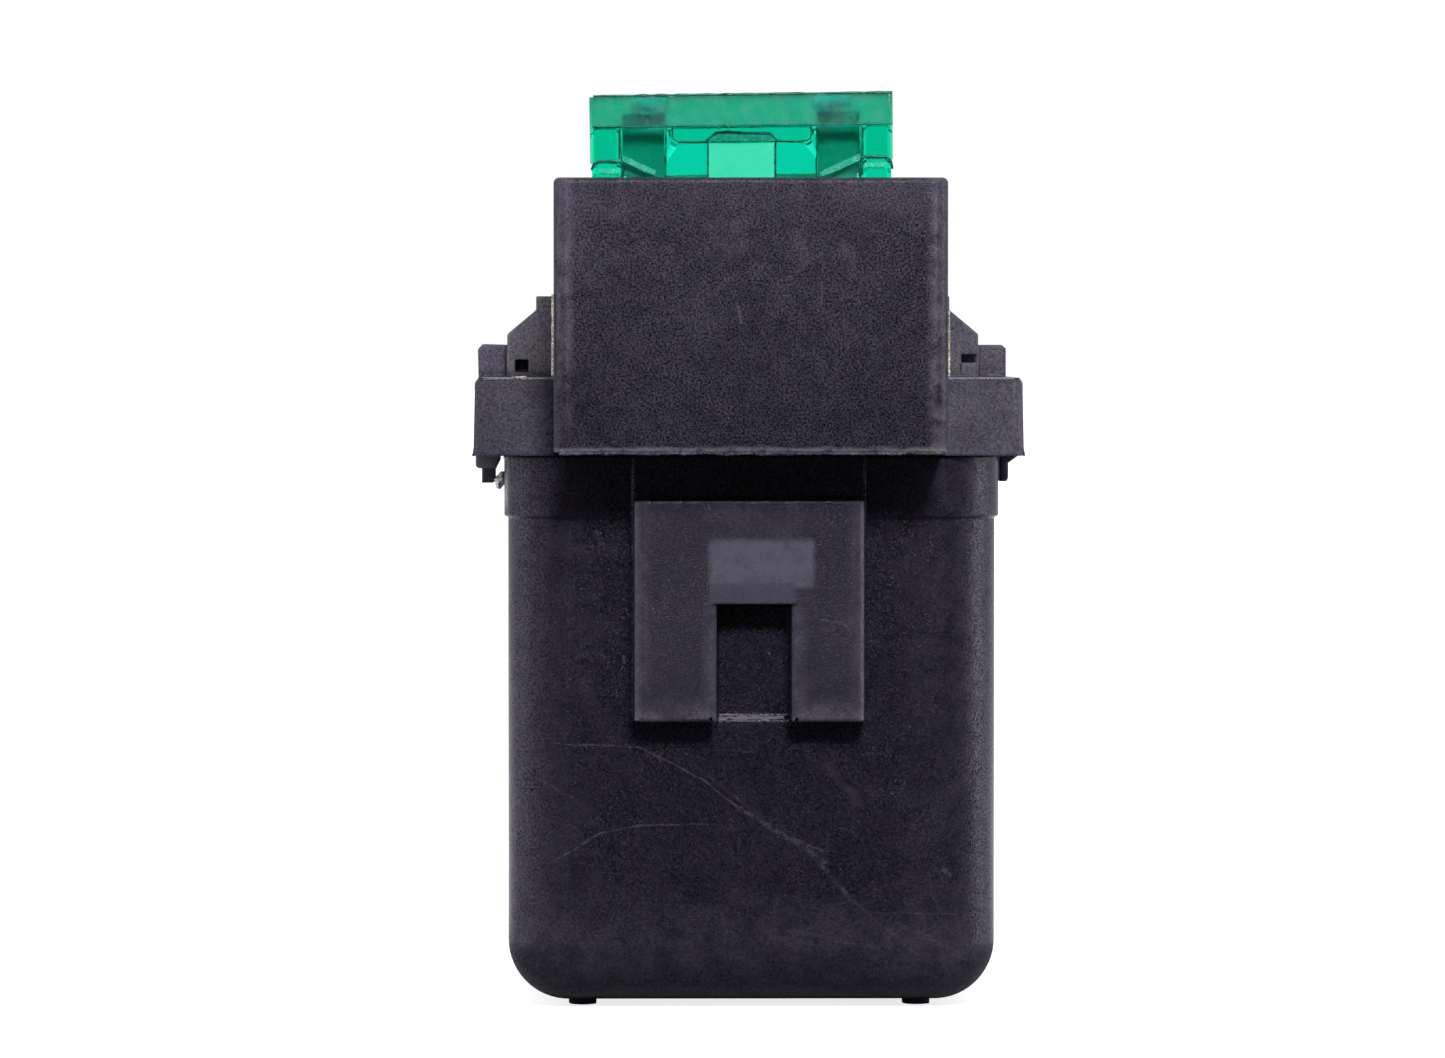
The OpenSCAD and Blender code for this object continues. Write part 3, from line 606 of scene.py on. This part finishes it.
def paint(node, material):
    mesh = NODES[node].data
    mesh.materials.clear()
    mesh.materials.append(material)
    for face in mesh.polygons:
        face.material_index = 0


for material, nodes in (
    (case_black, "case_can"),
    (header_black, "header"),
    (seal, "seal_gasket stop_pad"),
    (green, "fuse_body"),
    (fuse_metal, "fuse_element"),
    (nylon, "bobbin"),
    (enamel, "coil_winding coil_leads"),
    (steel, "yoke_frame yoke_plate spring_seat"),
    (turned, "fixed_core plunger"),
    (brass, "plunger_rod"),
    (wire_steel, "return_spring contact_spring retainer_clip"),
    (phenolic, "insulating_washer insulating_bush"),
    (copper, "contact_bridge input_bus_bar output_bus_bar"),
    (studs, "battery_stud motor_stud"),
    (plating, "stud_washers stud_nuts"),
    (tinned, "fuse_clip_input fuse_clip_output power_pins coil_pins"),
    (epoxy, "suppression_diode"),
):
    for node in nodes.split():
        paint(node, material)


# ------------------------------------------------------------------ rounding the CAD pieces
def trimmed(name, x_out, z_top, y0, y1):
    """Node group that holds points outside |x| > x_out and under z_top to y0..y1."""
    group = bpy.data.node_groups.new(name, "GeometryNodeTree")
    for way in ("INPUT", "OUTPUT"):
        group.interface.new_socket("Geometry", in_out=way, socket_type="NodeSocketGeometry")
    source, result, position, split, joined, move = (group.nodes.new(kind) for kind in (
        "NodeGroupInput", "NodeGroupOutput", "GeometryNodeInputPosition",
        "ShaderNodeSeparateXYZ", "ShaderNodeCombineXYZ", "GeometryNodeSetPosition"))
    link = group.links.new
    link(position.outputs[0], split.inputs[0])
    x, y, z = split.outputs
    held = math_node(group, "MAXIMUM", y, y0 * MM)
    held = math_node(group, "MINIMUM", held, y1 * MM)
    outside = math_node(group, "GREATER_THAN", math_node(group, "ABSOLUTE", x), x_out * MM)
    here = math_node(group, "MULTIPLY", outside, math_node(group, "LESS_THAN", z, z_top * MM))
    for socket, value in zip(joined.inputs, (x, held, z)):
        link(value, socket)
    link(source.outputs[0], move.inputs["Geometry"])
    link(here, move.inputs["Selection"])
    link(joined.outputs[0], move.inputs["Position"])
    link(move.outputs[0], result.inputs[0])
    return group


def smooth(mesh, sharp=None):
    """Smooth shading, split at edges sharper than an angle in degrees."""
    mesh.polygons.foreach_set("use_smooth", [True] * len(mesh.polygons))
    if sharp:
        mesh.set_sharp_from_angle(angle=math.radians(sharp))


def soften(node, width, segments=2, clamp=True, ends=None):
    """Rounds a CAD piece's sharp edges with modifiers; its own mesh stays as it is.

    ends: x_out, z_top, y0 and y1 for trimming what the rounding pushes past the ends.
    """
    piece = NODES[node]
    weld = piece.modifiers.new("weld", "WELD")
    weld.merge_threshold = 1e-7
    bevel = piece.modifiers.new("round", "BEVEL")
    bevel.width = width * MM
    bevel.segments = segments
    bevel.limit_method = "ANGLE"
    bevel.angle_limit = math.radians(28)
    bevel.use_clamp_overlap = clamp
    bevel.miter_outer = "MITER_ARC"
    if ends:
        trim = piece.modifiers.new("trim", "NODES")
        trim.node_group = trimmed(piece.name + "_trim", *ends)
    normals = piece.modifiers.new("normals", "WEIGHTED_NORMAL")
    normals.keep_sharp = True
    normals.weight = 80
    smooth(piece.data)


soften("case_can", 0.13, segments=3, clamp=False)
soften("header", 0.11, segments=3, clamp=False, ends=(17.52, 36.1, -11.60, 19.92))
for width, nodes in (
    (0.06, "fuse_body"),
    (0.12, "stud_nuts stud_washers contact_bridge bobbin yoke_frame yoke_plate plunger"
           " fixed_core"),
    (0.05, "power_pins coil_pins fuse_clip_input fuse_clip_output fuse_element retainer_clip"
           " insulating_bush insulating_washer spring_seat input_bus_bar output_bus_bar"
           " seal_gasket stop_pad plunger_rod suppression_diode coil_leads"),
):
    for node in nodes.split():
        soften(node, width)


# ------------------------------------------------------------------ mesh helpers
def new_mesh(name, verts, faces, body, material, sharp):
    """Makes an object from points in millimetres; body may be None."""
    mesh = bpy.data.meshes.new(name)
    mesh.from_pydata([tuple(c * MM for c in point) for point in verts], [], faces)
    mesh.validate()
    piece = bpy.data.objects.new(name, mesh)
    bpy.context.scene.collection.objects.link(piece)
    bm = bmesh.new()
    bm.from_mesh(mesh)
    bmesh.ops.remove_doubles(bm, verts=bm.verts, dist=1e-8)
    bmesh.ops.recalc_face_normals(bm, faces=bm.faces)
    bm.to_mesh(mesh)
    bm.free()
    smooth(mesh, sharp)
    mesh.materials.append(material)
    if body:
        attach(piece, body)
    return piece


def wall(rows, sides):
    """Quads joining rows + 1 rings of points."""
    faces = []
    for i in range(rows):
        for k in range(sides):
            j = (k + 1) % sides
            faces.append((i * sides + k, i * sides + j, (i + 1) * sides + j, (i + 1) * sides + k))
    return faces


def caps(rows, sides):
    """Faces closing the first and the last of rows + 1 rings."""
    return [tuple(range(sides - 1, -1, -1)), tuple(rows * sides + k for k in range(sides))]


def polar(radius, angle, z, centre=(0, AXIS_Y)):
    return (centre[0] + radius * math.cos(angle), centre[1] + radius * math.sin(angle), z)


def tube(path, radius, sides=10):
    """Round wire along a list of points, with capped ends."""
    points = [Vector(p) for p in path]
    last = len(points) - 1
    verts = []
    for i, point in enumerate(points):
        ahead = (points[min(i + 1, last)] - points[max(i - 1, 0)]).normalized()
        across = ahead.cross(Vector((0, 0, 1)))
        if across.length < 1e-4:
            across = ahead.cross(Vector((0, 1, 0)))
        across.normalize()
        upright = across.cross(ahead).normalized()
        for k in range(sides):
            angle = 2 * math.pi * k / sides
            verts.append(point + across * (radius * math.cos(angle))
                         + upright * (radius * math.sin(angle)))
    return verts, wall(last, sides) + caps(last, sides)


def bead(points, y, radius, flat=1.0, seed=0.0, sides=8):
    """A thin uneven moulded bead along points given in x and z, standing on the plane y."""
    spacing = 0.22
    path = []
    for (ax, az), (bx, bz) in zip(points, points[1:]):
        count = max(1, int(math.hypot(bx - ax, bz - az) / spacing))
        path += [Vector((ax + (bx - ax) * i / count, 0, az + (bz - az) * i / count))
                 for i in range(count)]
    path.append(Vector((points[-1][0], 0, points[-1][1])))
    last = len(path) - 1
    verts = []
    for i, point in enumerate(path):
        ahead = (path[min(i + 1, last)] - path[max(i - 1, 0)]).normalized()
        side = Vector((-ahead.z, 0, ahead.x))
        uneven = noise.noise(Vector((point.x * 1.7, seed, point.z * 1.7)))
        width = radius * (1.0 + 0.45 * uneven)
        for k in range(sides):
            angle = 2 * math.pi * k / sides
            spot = point + side * (width * math.cos(angle))
            verts.append((spot.x, y + flat * width * math.sin(angle), spot.z))
    return verts, wall(last, sides) + caps(last, sides)


def facet(outline, y, thick):
    """A flat moulded patch centred on the plane y, outlined in x and z."""
    count = len(outline)
    verts = [(x, y + half, z) for half in (-thick / 2, thick / 2) for x, z in outline]
    faces = [tuple(range(count)), tuple(range(2 * count - 1, count - 1, -1))]
    faces += [(i, count + i, count + (i + 1) % count, (i + 1) % count) for i in range(count)]
    return verts, faces


def gather(parts):
    verts, faces = [], []
    for part_verts, part_faces in parts:
        first = len(verts)
        verts += part_verts
        faces += [tuple(i + first for i in face) for face in part_faces]
    return verts, faces


# ------------------------------------------------------------------ studs, springs and coil
def stud_head(bm, low, high, height=2.44):
    """The stud's rounded square head, at the bottom of the box low..high."""
    for vert in bmesh.ops.create_cube(bm, size=1.0)["verts"]:
        vert.co.x = (low[0] + high[0]) / 2 + vert.co.x * (high[0] - low[0])
        vert.co.y = (low[1] + high[1]) / 2 + vert.co.y * (high[1] - low[1])
        vert.co.z = low[2] + height / 2 + vert.co.z * height
        vert.co *= MM
    upright = [e for e in bm.edges if abs(e.verts[0].co.z - e.verts[1].co.z) > 1e-4]
    bmesh.ops.bevel(bm, geom=upright, offset=1.0 * MM, segments=5, profile=0.5, affect="EDGES")
    rims = [e for e in bm.edges if e.calc_face_angle(0) > 1.0]
    bmesh.ops.bevel(bm, geom=rims, offset=0.15 * MM, segments=2, profile=0.5, affect="EDGES")


def threaded_stud(node, side):
    """Contact head, shank and a true M6 helix in place of the plain cylinder."""
    low, high = ([c / MM for c in corner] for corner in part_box(node))
    z0, z1 = low[2] + 2.2, high[2]
    around, rows_per_mm = 40, 10
    pitch, root, shank = 1.0, 2.44, 2.94
    rows = int((z1 - z0) * rows_per_mm)
    verts = []
    for i in range(rows + 1):
        z = z0 + (z1 - z0) * i / rows
        crest = shank if z < 46.9 else 2.985
        for k in range(around):
            phase = (z - z0 - k / around) % pitch
            ridge = 1 - abs(2 * phase - 1)
            radius = root + (crest - root) * min(1.0, max(0.0, (ridge - 0.14) / 0.68))
            # chamfer at the tip
            radius = min(radius, 2.95 - max(0.0, z - (z1 - 0.75)) * 0.95)
            if z < z0 + 0.3:
                radius = shank
            verts.append(polar(radius, 2 * math.pi * k / around, z, (side * STUD_X, STUD_Y)))
    stud = new_mesh(node + "_threaded", verts, wall(rows, around) + caps(rows, around), None,
                    studs, sharp=50)
    bm = bmesh.new()
    stud_head(bm, low, high)
    bm.from_mesh(stud.data)
    bm.to_mesh(stud.data)
    bm.free()
    smooth(stud.data, sharp=50)
    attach(stud, "housing")
    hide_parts(node)


def helix(z0, z1, radius, wire, turns, per_turn=28):
    """Centre line of a compression spring with flat end turns, inside z0..z1."""
    points = []
    dead = 0.8      # turns lying flat at each end
    low, high = z0 + wire, z1 - wire
    lay = 2.06 * wire * dead
    for i in range(int(turns * per_turn) + 1):
        turn = i / per_turn
        if turn < dead:
            z = low + lay * turn / dead
        elif turn > turns - dead:
            z = high - lay * (turns - turn) / dead
        else:
            z = low + lay + (high - low - 2 * lay) * (turn - dead) / (turns - 2 * dead)
        points.append(polar(radius, 2 * math.pi * turn, z))
    return points


def coil_spring(node, start, end, radius, wire, thick, turns):
    """Round wire on a helix between two heights; start and end are (body, z).

    wire is the wire radius used for the spacing, thick the modelled one.
    """
    z0, z1 = sorted((start[1], end[1]))
    verts, faces = tube(helix(z0, z1, radius, wire, turns), thick)
    spring = new_mesh(node + "_wire", verts, faces, None, wire_steel, sharp=40)
    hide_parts(node)
    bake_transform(spring)


def wound_coil():
    """The winding, with its outer layer of wire modelled turn by turn."""
    low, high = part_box("coil_winding")
    z0, z1 = low.z / MM, high.z / MM
    pitch, around, rows_per_turn = 0.46, 72, 6
    valley, wire_height, bore = 8.97, 0.22, 5.03
    rows = int((z1 - z0) / pitch * rows_per_turn)
    verts = []
    for i in range(rows + 1):
        z = z0 + (z1 - z0) * i / rows
        for k in range(around):
            phase = ((z - z0) / pitch - k / around) % 1.0
            radius = valley + wire_height * math.sqrt(max(0.0, 1 - (2 * phase - 1) ** 2))
            verts.append(polar(radius, 2 * math.pi * k / around, z))
    faces = wall(rows, around)
    first = len(verts)
    for z in (z0, z1):
        verts += [polar(bore, 2 * math.pi * k / around, z) for k in range(around)]
    second, top = first + around, rows * around
    for k in range(around):
        j = (k + 1) % around
        faces.append((k, first + k, first + j, j))
        faces.append((top + j, second + j, second + k, top + k))
        faces.append((first + k, second + k, second + j, first + j))
    coil = new_mesh("coil_winding_turns", verts, faces, "housing", enamel,
                    sharp=60)
    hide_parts("coil_winding")


threaded_stud("battery_stud", side=-1)
threaded_stud("motor_stud", side=1)
coil_spring("return_spring", ("housing", 19.58), ("armature", 12.32),
            radius=2.1, wire=0.25, thick=0.245, turns=7)
coil_spring("contact_spring", ("armature", 24.17), ("bridge", 29.4),
            radius=2.75, wire=0.30, thick=0.295, turns=4)
wound_coil()


# ------------------------------------------------------------------ moulding details
def tower_flash():
    """Ragged flash along the tower's lower front edge."""
    rng = random.Random(7)
    half_width, steps = 12.05, 210
    verts = []
    for i in range(steps + 1):
        x = -half_width + 2 * half_width * i / steps
        ragged = (noise.noise(Vector((x * 0.9, 3.1, 0.4))) * 0.5
                  + noise.noise(Vector((x * 3.7, 1.2, 8.0))) * 0.3
                  + (rng.random() - 0.5) * 0.25)
        drop = 0.05 + max(0.0, 0.10 + 0.16 * ragged)
        # cross-section: distance behind the tower's face, height
        section = ((0.36, 35.97), (0.20, 35.95 - drop), (0.08, 35.96 - drop * 0.8),
                   (0.05, 36.03), (0.09, 36.17), (0.36, 36.17))
        verts += [(x, TOWER_Y + back, z) for back, z in section]
    sides = len(section)
    faces = wall(steps, sides) + [cap[::-1] for cap in caps(steps, sides)]
    mat = plastic("flash_plastic", (0.030, 0.030, 0.040), (0.105, 0.106, 0.120), rough=0.5,
                  dust=1.2, scuffs=0.3, edge=0.8)
    new_mesh("tower_flash", verts, faces, "housing", mat.material, sharp=55)


tower_flash()

# The fuse's surfaces, as distances from its middle plane.
WEB, BOSS, POST, CAP = 1.31, 1.72, 1.86, 2.55
BOSS_OUTLINE = [
    (-4.93, 56.45), (-4.92, 55.95), (-4.86, 55.66), (-4.62, 55.54), (-3.81, 55.51),
    (-2.80, 55.52), (-2.54, 55.77), (-2.16, 56.06), (-1.40, 56.14), (-0.33, 56.05),
    (1.25, 56.03), (1.50, 55.77), (1.69, 55.58), (3.15, 55.56), (3.60, 55.60),
    (3.78, 55.74), (3.83, 56.02), (3.84, 56.52),
]
# Beads: points (x, z), distance from the middle plane, radius, flatness, seed.
# the beads' dark colour is painted shade along the fuse's moulded edges
FUSE_BEADS = [
    (BOSS_OUTLINE, BOSS, 0.045, 0.6, 1),
    (BOSS_OUTLINE[5:13], BOSS, 0.085, 0.5, 2),
    ([(-2.67, 55.5), (-2.67, 53.0)], WEB, 0.045, 0.6, -2.67),
    ([(1.60, 55.5), (1.60, 53.0)], WEB, 0.045, 0.6, 1.60),
    ([(-8.26, 56.3), (-8.26, 54.4)], POST, 0.065, 0.6, 5),
    ([(-5.32, 56.4), (-5.34, 53.2)], WEB, 0.040, 0.6, 11),
    ([(4.20, 56.5), (4.20, 53.2)], WEB, 0.040, 0.6, 12),
    ([(7.08, 56.4), (7.08, 54.6)], POST, 0.055, 0.6, 6),
    ([(-10.0, 53.75), (-9.87, 54.11), (-9.56, 54.27), (-8.42, 54.27), (-8.11, 54.11),
      (-8.06, 53.3)], POST, 0.085, 0.5, 7),
    ([(7.02, 53.4), (7.02, 54.37), (7.24, 54.59), (8.57, 54.56), (8.86, 54.3),
      (8.95, 53.8)], POST, 0.085, 0.5, 8),
    ([(-9.93, 56.42), (-4.9, 56.47), (3.84, 56.57), (8.95, 56.64)], CAP, 0.050, 0.6, 9),
    ([(-9.93, 58.34), (-7.2, 58.38), (-6.1, 58.40), (-2.0, 58.45), (2.5, 58.51),
      (8.92, 58.60)], CAP - 0.08, 0.085, 0.8, 10),
]
# Facets: outline (x, z), distance from the middle plane, thickness.
FUSE_ARCH = [([(-2.74, 55.52), (-2.16, 56.02), (1.25, 56.00), (1.64, 55.55)], 1.70, 0.06)]
# the pale facets are painted highlights on the sloped shoulders and posts
FUSE_FACETS = [
    ([(-9.62, 53.80), (-8.34, 53.80), (-8.34, 53.50), (-9.62, 53.50)], POST, 0.08),
    ([(7.20, 54.16), (8.55, 54.22), (8.55, 53.93), (7.20, 53.88)], POST, 0.08),
    ([(-8.08, 54.69), (-5.90, 53.68), (-6.02, 53.40), (-6.78, 53.70), (-8.08, 54.30)], WEB, 0.08),
    ([(6.93, 54.81), (4.34, 53.60), (4.50, 53.34), (5.29, 53.62), (6.93, 54.36)], WEB, 0.08),
]


def fuse_mouldings():
    """Steps, beads and sloped facets on both faces of the fuse body; the beads' dark colour is
    painted shade and the pale facets are painted highlights.
    """
    line = green_detail("fuse_line_green", (0.0, 0.085, 0.060), (0.0, 0.22, 0.14), clear=0.40)
    tone = green_detail("fuse_mid_green", (0.0, 0.40, 0.25), (0.01, 0.60, 0.38), clear=0.5)
    pale = green_detail("fuse_pale_green", (0.06, 1.0, 0.66), (0.20, 1.0, 0.85), clear=0.75)
    for name, build, table, material in (("fuse_beads", bead, FUSE_BEADS, line),
                                         ("fuse_boss_arch", facet, FUSE_ARCH, tone),
                                         ("fuse_facets", facet, FUSE_FACETS, pale)):
        verts, faces = gather(build(points, FUSE_Y + side * away, *sizes)
                              for side in (-1, 1) for points, away, *sizes in table)
        new_mesh(name, verts, faces, "fuse", material, sharp=50)


def sealant():
    """A crumb of clear sealant squeezed out beside the left locating leg."""
    bm = bmesh.new()
    bmesh.ops.create_icosphere(bm, subdivisions=4, radius=1.0)
    for vert in bm.verts:
        p = vert.co.copy()
        lump = (1.0 + 0.34 * noise.noise(p * 1.6 + Vector((3.0, 1.0, 0.0)))
                + 0.12 * noise.noise(p * 5.0))
        vert.co = Vector((-15.98 + p.x * 0.40 * lump,
                          CASE_Y - 9.9 + p.y * 0.9 * lump,
                          33.95 + p.z * 0.50 * lump + p.x * 0.20))
    verts = [tuple(vert.co) for vert in bm.verts]
    faces = [tuple(vert.index for vert in face.verts) for face in bm.faces]
    bm.free()
    new_mesh("sealant_crumb", verts, faces, "housing", sealant_clear(), sharp=40)


def flash_and_glints():
    """Pale slivers: flash up both sides of the tower that also stands as painted highlight, and
    painted highlights and glints along the ears' tops and at the box's top left corner.
    """
    tower_side, ear_front = TOWER_Y + 0.6, -11.97
    # the tower's side fins are flash and painted highlight; the two short slivers are painted
    # glints on the left ear's top and the box's left lip
    fins = [
        bead([(-12.47, 40.75), (-12.46, 42.6), (-12.45, 45.9)], tower_side, 0.072, seed=21),
        bead([(12.46, 40.70), (12.45, 44.9)], tower_side, 0.066, seed=22),
        bead([(-15.15, 40.58), (-14.2, 40.59)], -11.98, 0.11, seed=23),
        bead([(-15.66, 35.60), (-15.54, 35.48)], CASE_Y - 14.6, 0.13, seed=27),
    ]
    # painted highlights along the lit front edge of the ears' tops
    rims = [
        bead([(-17.0, 40.50), (-15.2, 40.54), (-12.5, 40.55)], ear_front, 0.062, seed=24),
        bead([(12.5, 40.55), (14.4, 40.55), (17.0, 40.52)], ear_front, 0.045, seed=25),
    ]
    for name, parts, dark, light in (
        ("pale_flash_and_glints", fins, (0.24, 0.24, 0.19), (0.48, 0.47, 0.37)),
        ("ear_edge_highlights", rims, (0.10, 0.10, 0.115), (0.30, 0.30, 0.29)),
    ):
        verts, faces = gather(parts)
        mat = plastic(name, dark, light, rough=0.5, dust=1.2, scuffs=0.2, edge=0.4)
        new_mesh(name, verts, faces, "housing", mat.material, sharp=60)


fuse_mouldings()
sealant()
flash_and_glints()


# ------------------------------------------------------------------ stage (lengths in metres)
def floor_material():
    """White to the camera from above, clear from below, and its own light for bounces."""
    material = bpy.data.materials.new("floor_white")
    material.use_nodes = True
    tree = material.node_tree
    tree.nodes.clear()
    add, link = tree.nodes.new, tree.links.new
    out, path = add("ShaderNodeOutputMaterial"), add("ShaderNodeLightPath")

    def join(kind, first, second, factor=None):
        """Adds two shaders, or mixes them when a factor is given."""
        node = add(kind)
        if factor is not None:
            link(factor, node.inputs[0])
        offset = 0 if factor is None else 1
        link(first.outputs[0], node.inputs[offset])
        link(second.outputs[0], node.inputs[offset + 1])
        return node

    # bounced light: dark near the part and in front of it, bright far out to the sides
    where, split = add("ShaderNodeNewGeometry"), add("ShaderNodeSeparateXYZ")
    link(where.outputs["Position"], split.inputs[0])
    x, y, _ = split.outputs
    squares = math_node(tree, "ADD", math_node(tree, "MULTIPLY", x, x),
                        math_node(tree, "MULTIPLY", y, y))
    reach = math_node(tree, "SQRT", squares)
    way = math_node(tree, "DIVIDE", y, math_node(tree, "MAXIMUM", reach, 0.001))
    way = math_node(tree, "ADD", way, math_node(tree, "MULTIPLY", x, -0.5))
    power = math_node(tree, "MULTIPLY", range_node(tree, reach, (0.026, 0.080)),
                      range_node(tree, way, (-0.80, -0.46), to=(0.01, 1.0)))
    power = math_node(tree, "MULTIPLY", power,
                      range_node(tree, reach, (0.10, 0.45), to=(1.35, 0.75)))
    far = add("ShaderNodeEmission")
    far.inputs[0].default_value = (0.93, 0.89, 1.0, 1)
    link(power, far.inputs[1])
    bounce = add("ShaderNodeBsdfDiffuse")
    link(range_node(tree, reach, (0.020, 0.042), to=(0.22, 0.05)), bounce.inputs[0])
    bounced = join("ShaderNodeAddShader", bounce, far)

    # what the camera sees
    lit, glow = add("ShaderNodeBsdfDiffuse"), add("ShaderNodeEmission")
    lit.inputs[0].default_value = (0.55, 0.55, 0.55, 1)
    glow.inputs[1].default_value = 0.80
    seen = join("ShaderNodeAddShader", lit, glow)
    camera_ray = path.outputs["Is Camera Ray"]
    floor_shader = join("ShaderNodeMixShader", bounced, seen, camera_ray)

    # a camera under the floor looks through it at the part's underside
    below = math_node(tree, "MULTIPLY", where.outputs["Backfacing"], camera_ray)
    clear = add("ShaderNodeBsdfTransparent")
    result = join("ShaderNodeMixShader", floor_shader, clear, below)
    link(result.outputs[0], out.inputs["Surface"])
    return material


def make_floor():
    bm = bmesh.new()
    bmesh.ops.create_circle(bm, cap_ends=True, segments=64, radius=6.0)
    mesh = bpy.data.meshes.new("floor")
    bm.to_mesh(mesh)
    bm.free()
    floor = bpy.data.objects.new("floor", mesh)
    floor.location.z = -0.00002
    mesh.materials.append(floor_material())
    bpy.context.scene.collection.objects.link(floor)


def make_world():
    """White to the camera; as light, dark at the front and bright to the sides and behind."""
    world = bpy.data.worlds.new("studio")
    bpy.context.scene.world = world
    world.use_nodes = True
    tree = world.node_tree
    tree.nodes.clear()
    out, light, backdrop, coords, split, path, choose = (tree.nodes.new(kind) for kind in (
        "ShaderNodeOutputWorld", "ShaderNodeBackground", "ShaderNodeBackground",
        "ShaderNodeTexCoord", "ShaderNodeSeparateXYZ", "ShaderNodeLightPath",
        "ShaderNodeMixShader"))
    link = tree.links.new
    link(coords.outputs["Generated"], split.inputs[0])
    _, y, z = split.outputs
    ring = range_node(tree, y, (-0.97, -0.62), to=(0.02, 0.90))
    back = range_node(tree, y, (-0.30, 0.35), to=(0.0, 0.20))
    total = math_node(tree, "ADD", ring, back)
    # dimmer towards the horizon, except at the back
    low = range_node(tree, z, (0.0, 0.30), to=(0.30, 1.0))
    strength = math_node(tree, "MULTIPLY", total, math_node(tree, "MAXIMUM", low, back))
    # extra light from behind for rays passing through the clear plastic
    through = range_node(tree, y, (-0.10, 0.45), to=(0.0, 0.64))
    strength = math_node(tree, "MULTIPLY_ADD", through, path.outputs["Is Transmission Ray"],
                         strength)
    link(strength, light.inputs["Strength"])
    tone = mix_node(tree, total, (0.91, 0.86, 1.0), (1.06, 1.06, 1.06))
    link(tone, light.inputs["Color"])
    backdrop.inputs["Strength"].default_value = 1.0
    backdrop.inputs["Color"].default_value = (1, 1, 1, 1)
    link(path.outputs["Is Camera Ray"], choose.inputs[0])
    link(light.outputs[0], choose.inputs[1])
    link(backdrop.outputs[0], choose.inputs[2])
    link(choose.outputs[0], out.inputs["Surface"])


def lamp(name, around, above, distance, size, power, colour, target=(0, -0.006, 0.030)):
    """Disk lamp aimed at a target; around (from the front to the right) and above in degrees."""
    data = bpy.data.lights.new(name, "AREA")
    data.shape, data.size, data.energy, data.color = "DISK", size, power, colour
    light = bpy.data.objects.new(name, data)
    turn, rise = math.radians(around), math.radians(above)
    aim = Vector(target)
    light.location = aim + Vector((math.sin(turn) * math.cos(rise),
                                   -math.cos(turn) * math.cos(rise),
                                   math.sin(rise))) * distance
    light.rotation_euler = (aim - light.location).to_track_quat("-Z", "Y").to_euler()
    bpy.context.scene.collection.objects.link(light)


def make_camera():
    scene = bpy.context.scene
    scene.view_settings.view_transform = "Standard"
    data = bpy.data.cameras.new("camera")
    camera = bpy.data.objects.new("camera", data)
    scene.collection.objects.link(camera)
    data.sensor_width = 36.0
    data.lens = 179.13
    data.clip_start, data.clip_end = 0.02, 30.0
    camera.location = (-0.007472, -0.471437, 0.042858)
    pitch_down, turn = 1.4863, -0.7209      # degrees
    camera.rotation_euler = (math.radians(90 - pitch_down), 0, math.radians(turn))
    scene.camera = camera


make_floor()
make_world()
LOW_TARGET = (0, -0.004, 0.012)
lamp("key", around=6, above=29, distance=0.70, size=0.16, power=4.6, colour=(0.96, 0.93, 1.0))
lamp("left", around=-91, above=3, distance=0.60, size=0.14, power=0.16,
     colour=(0.97, 0.90, 1.0), target=LOW_TARGET)
lamp("right", around=93, above=3, distance=0.60, size=0.09, power=0.42,
     colour=(0.93, 0.95, 1.0), target=LOW_TARGET)
lamp("fill", around=-35, above=12, distance=0.9, size=0.5, power=0.25, colour=(0.93, 0.88, 1.0))
make_camera()
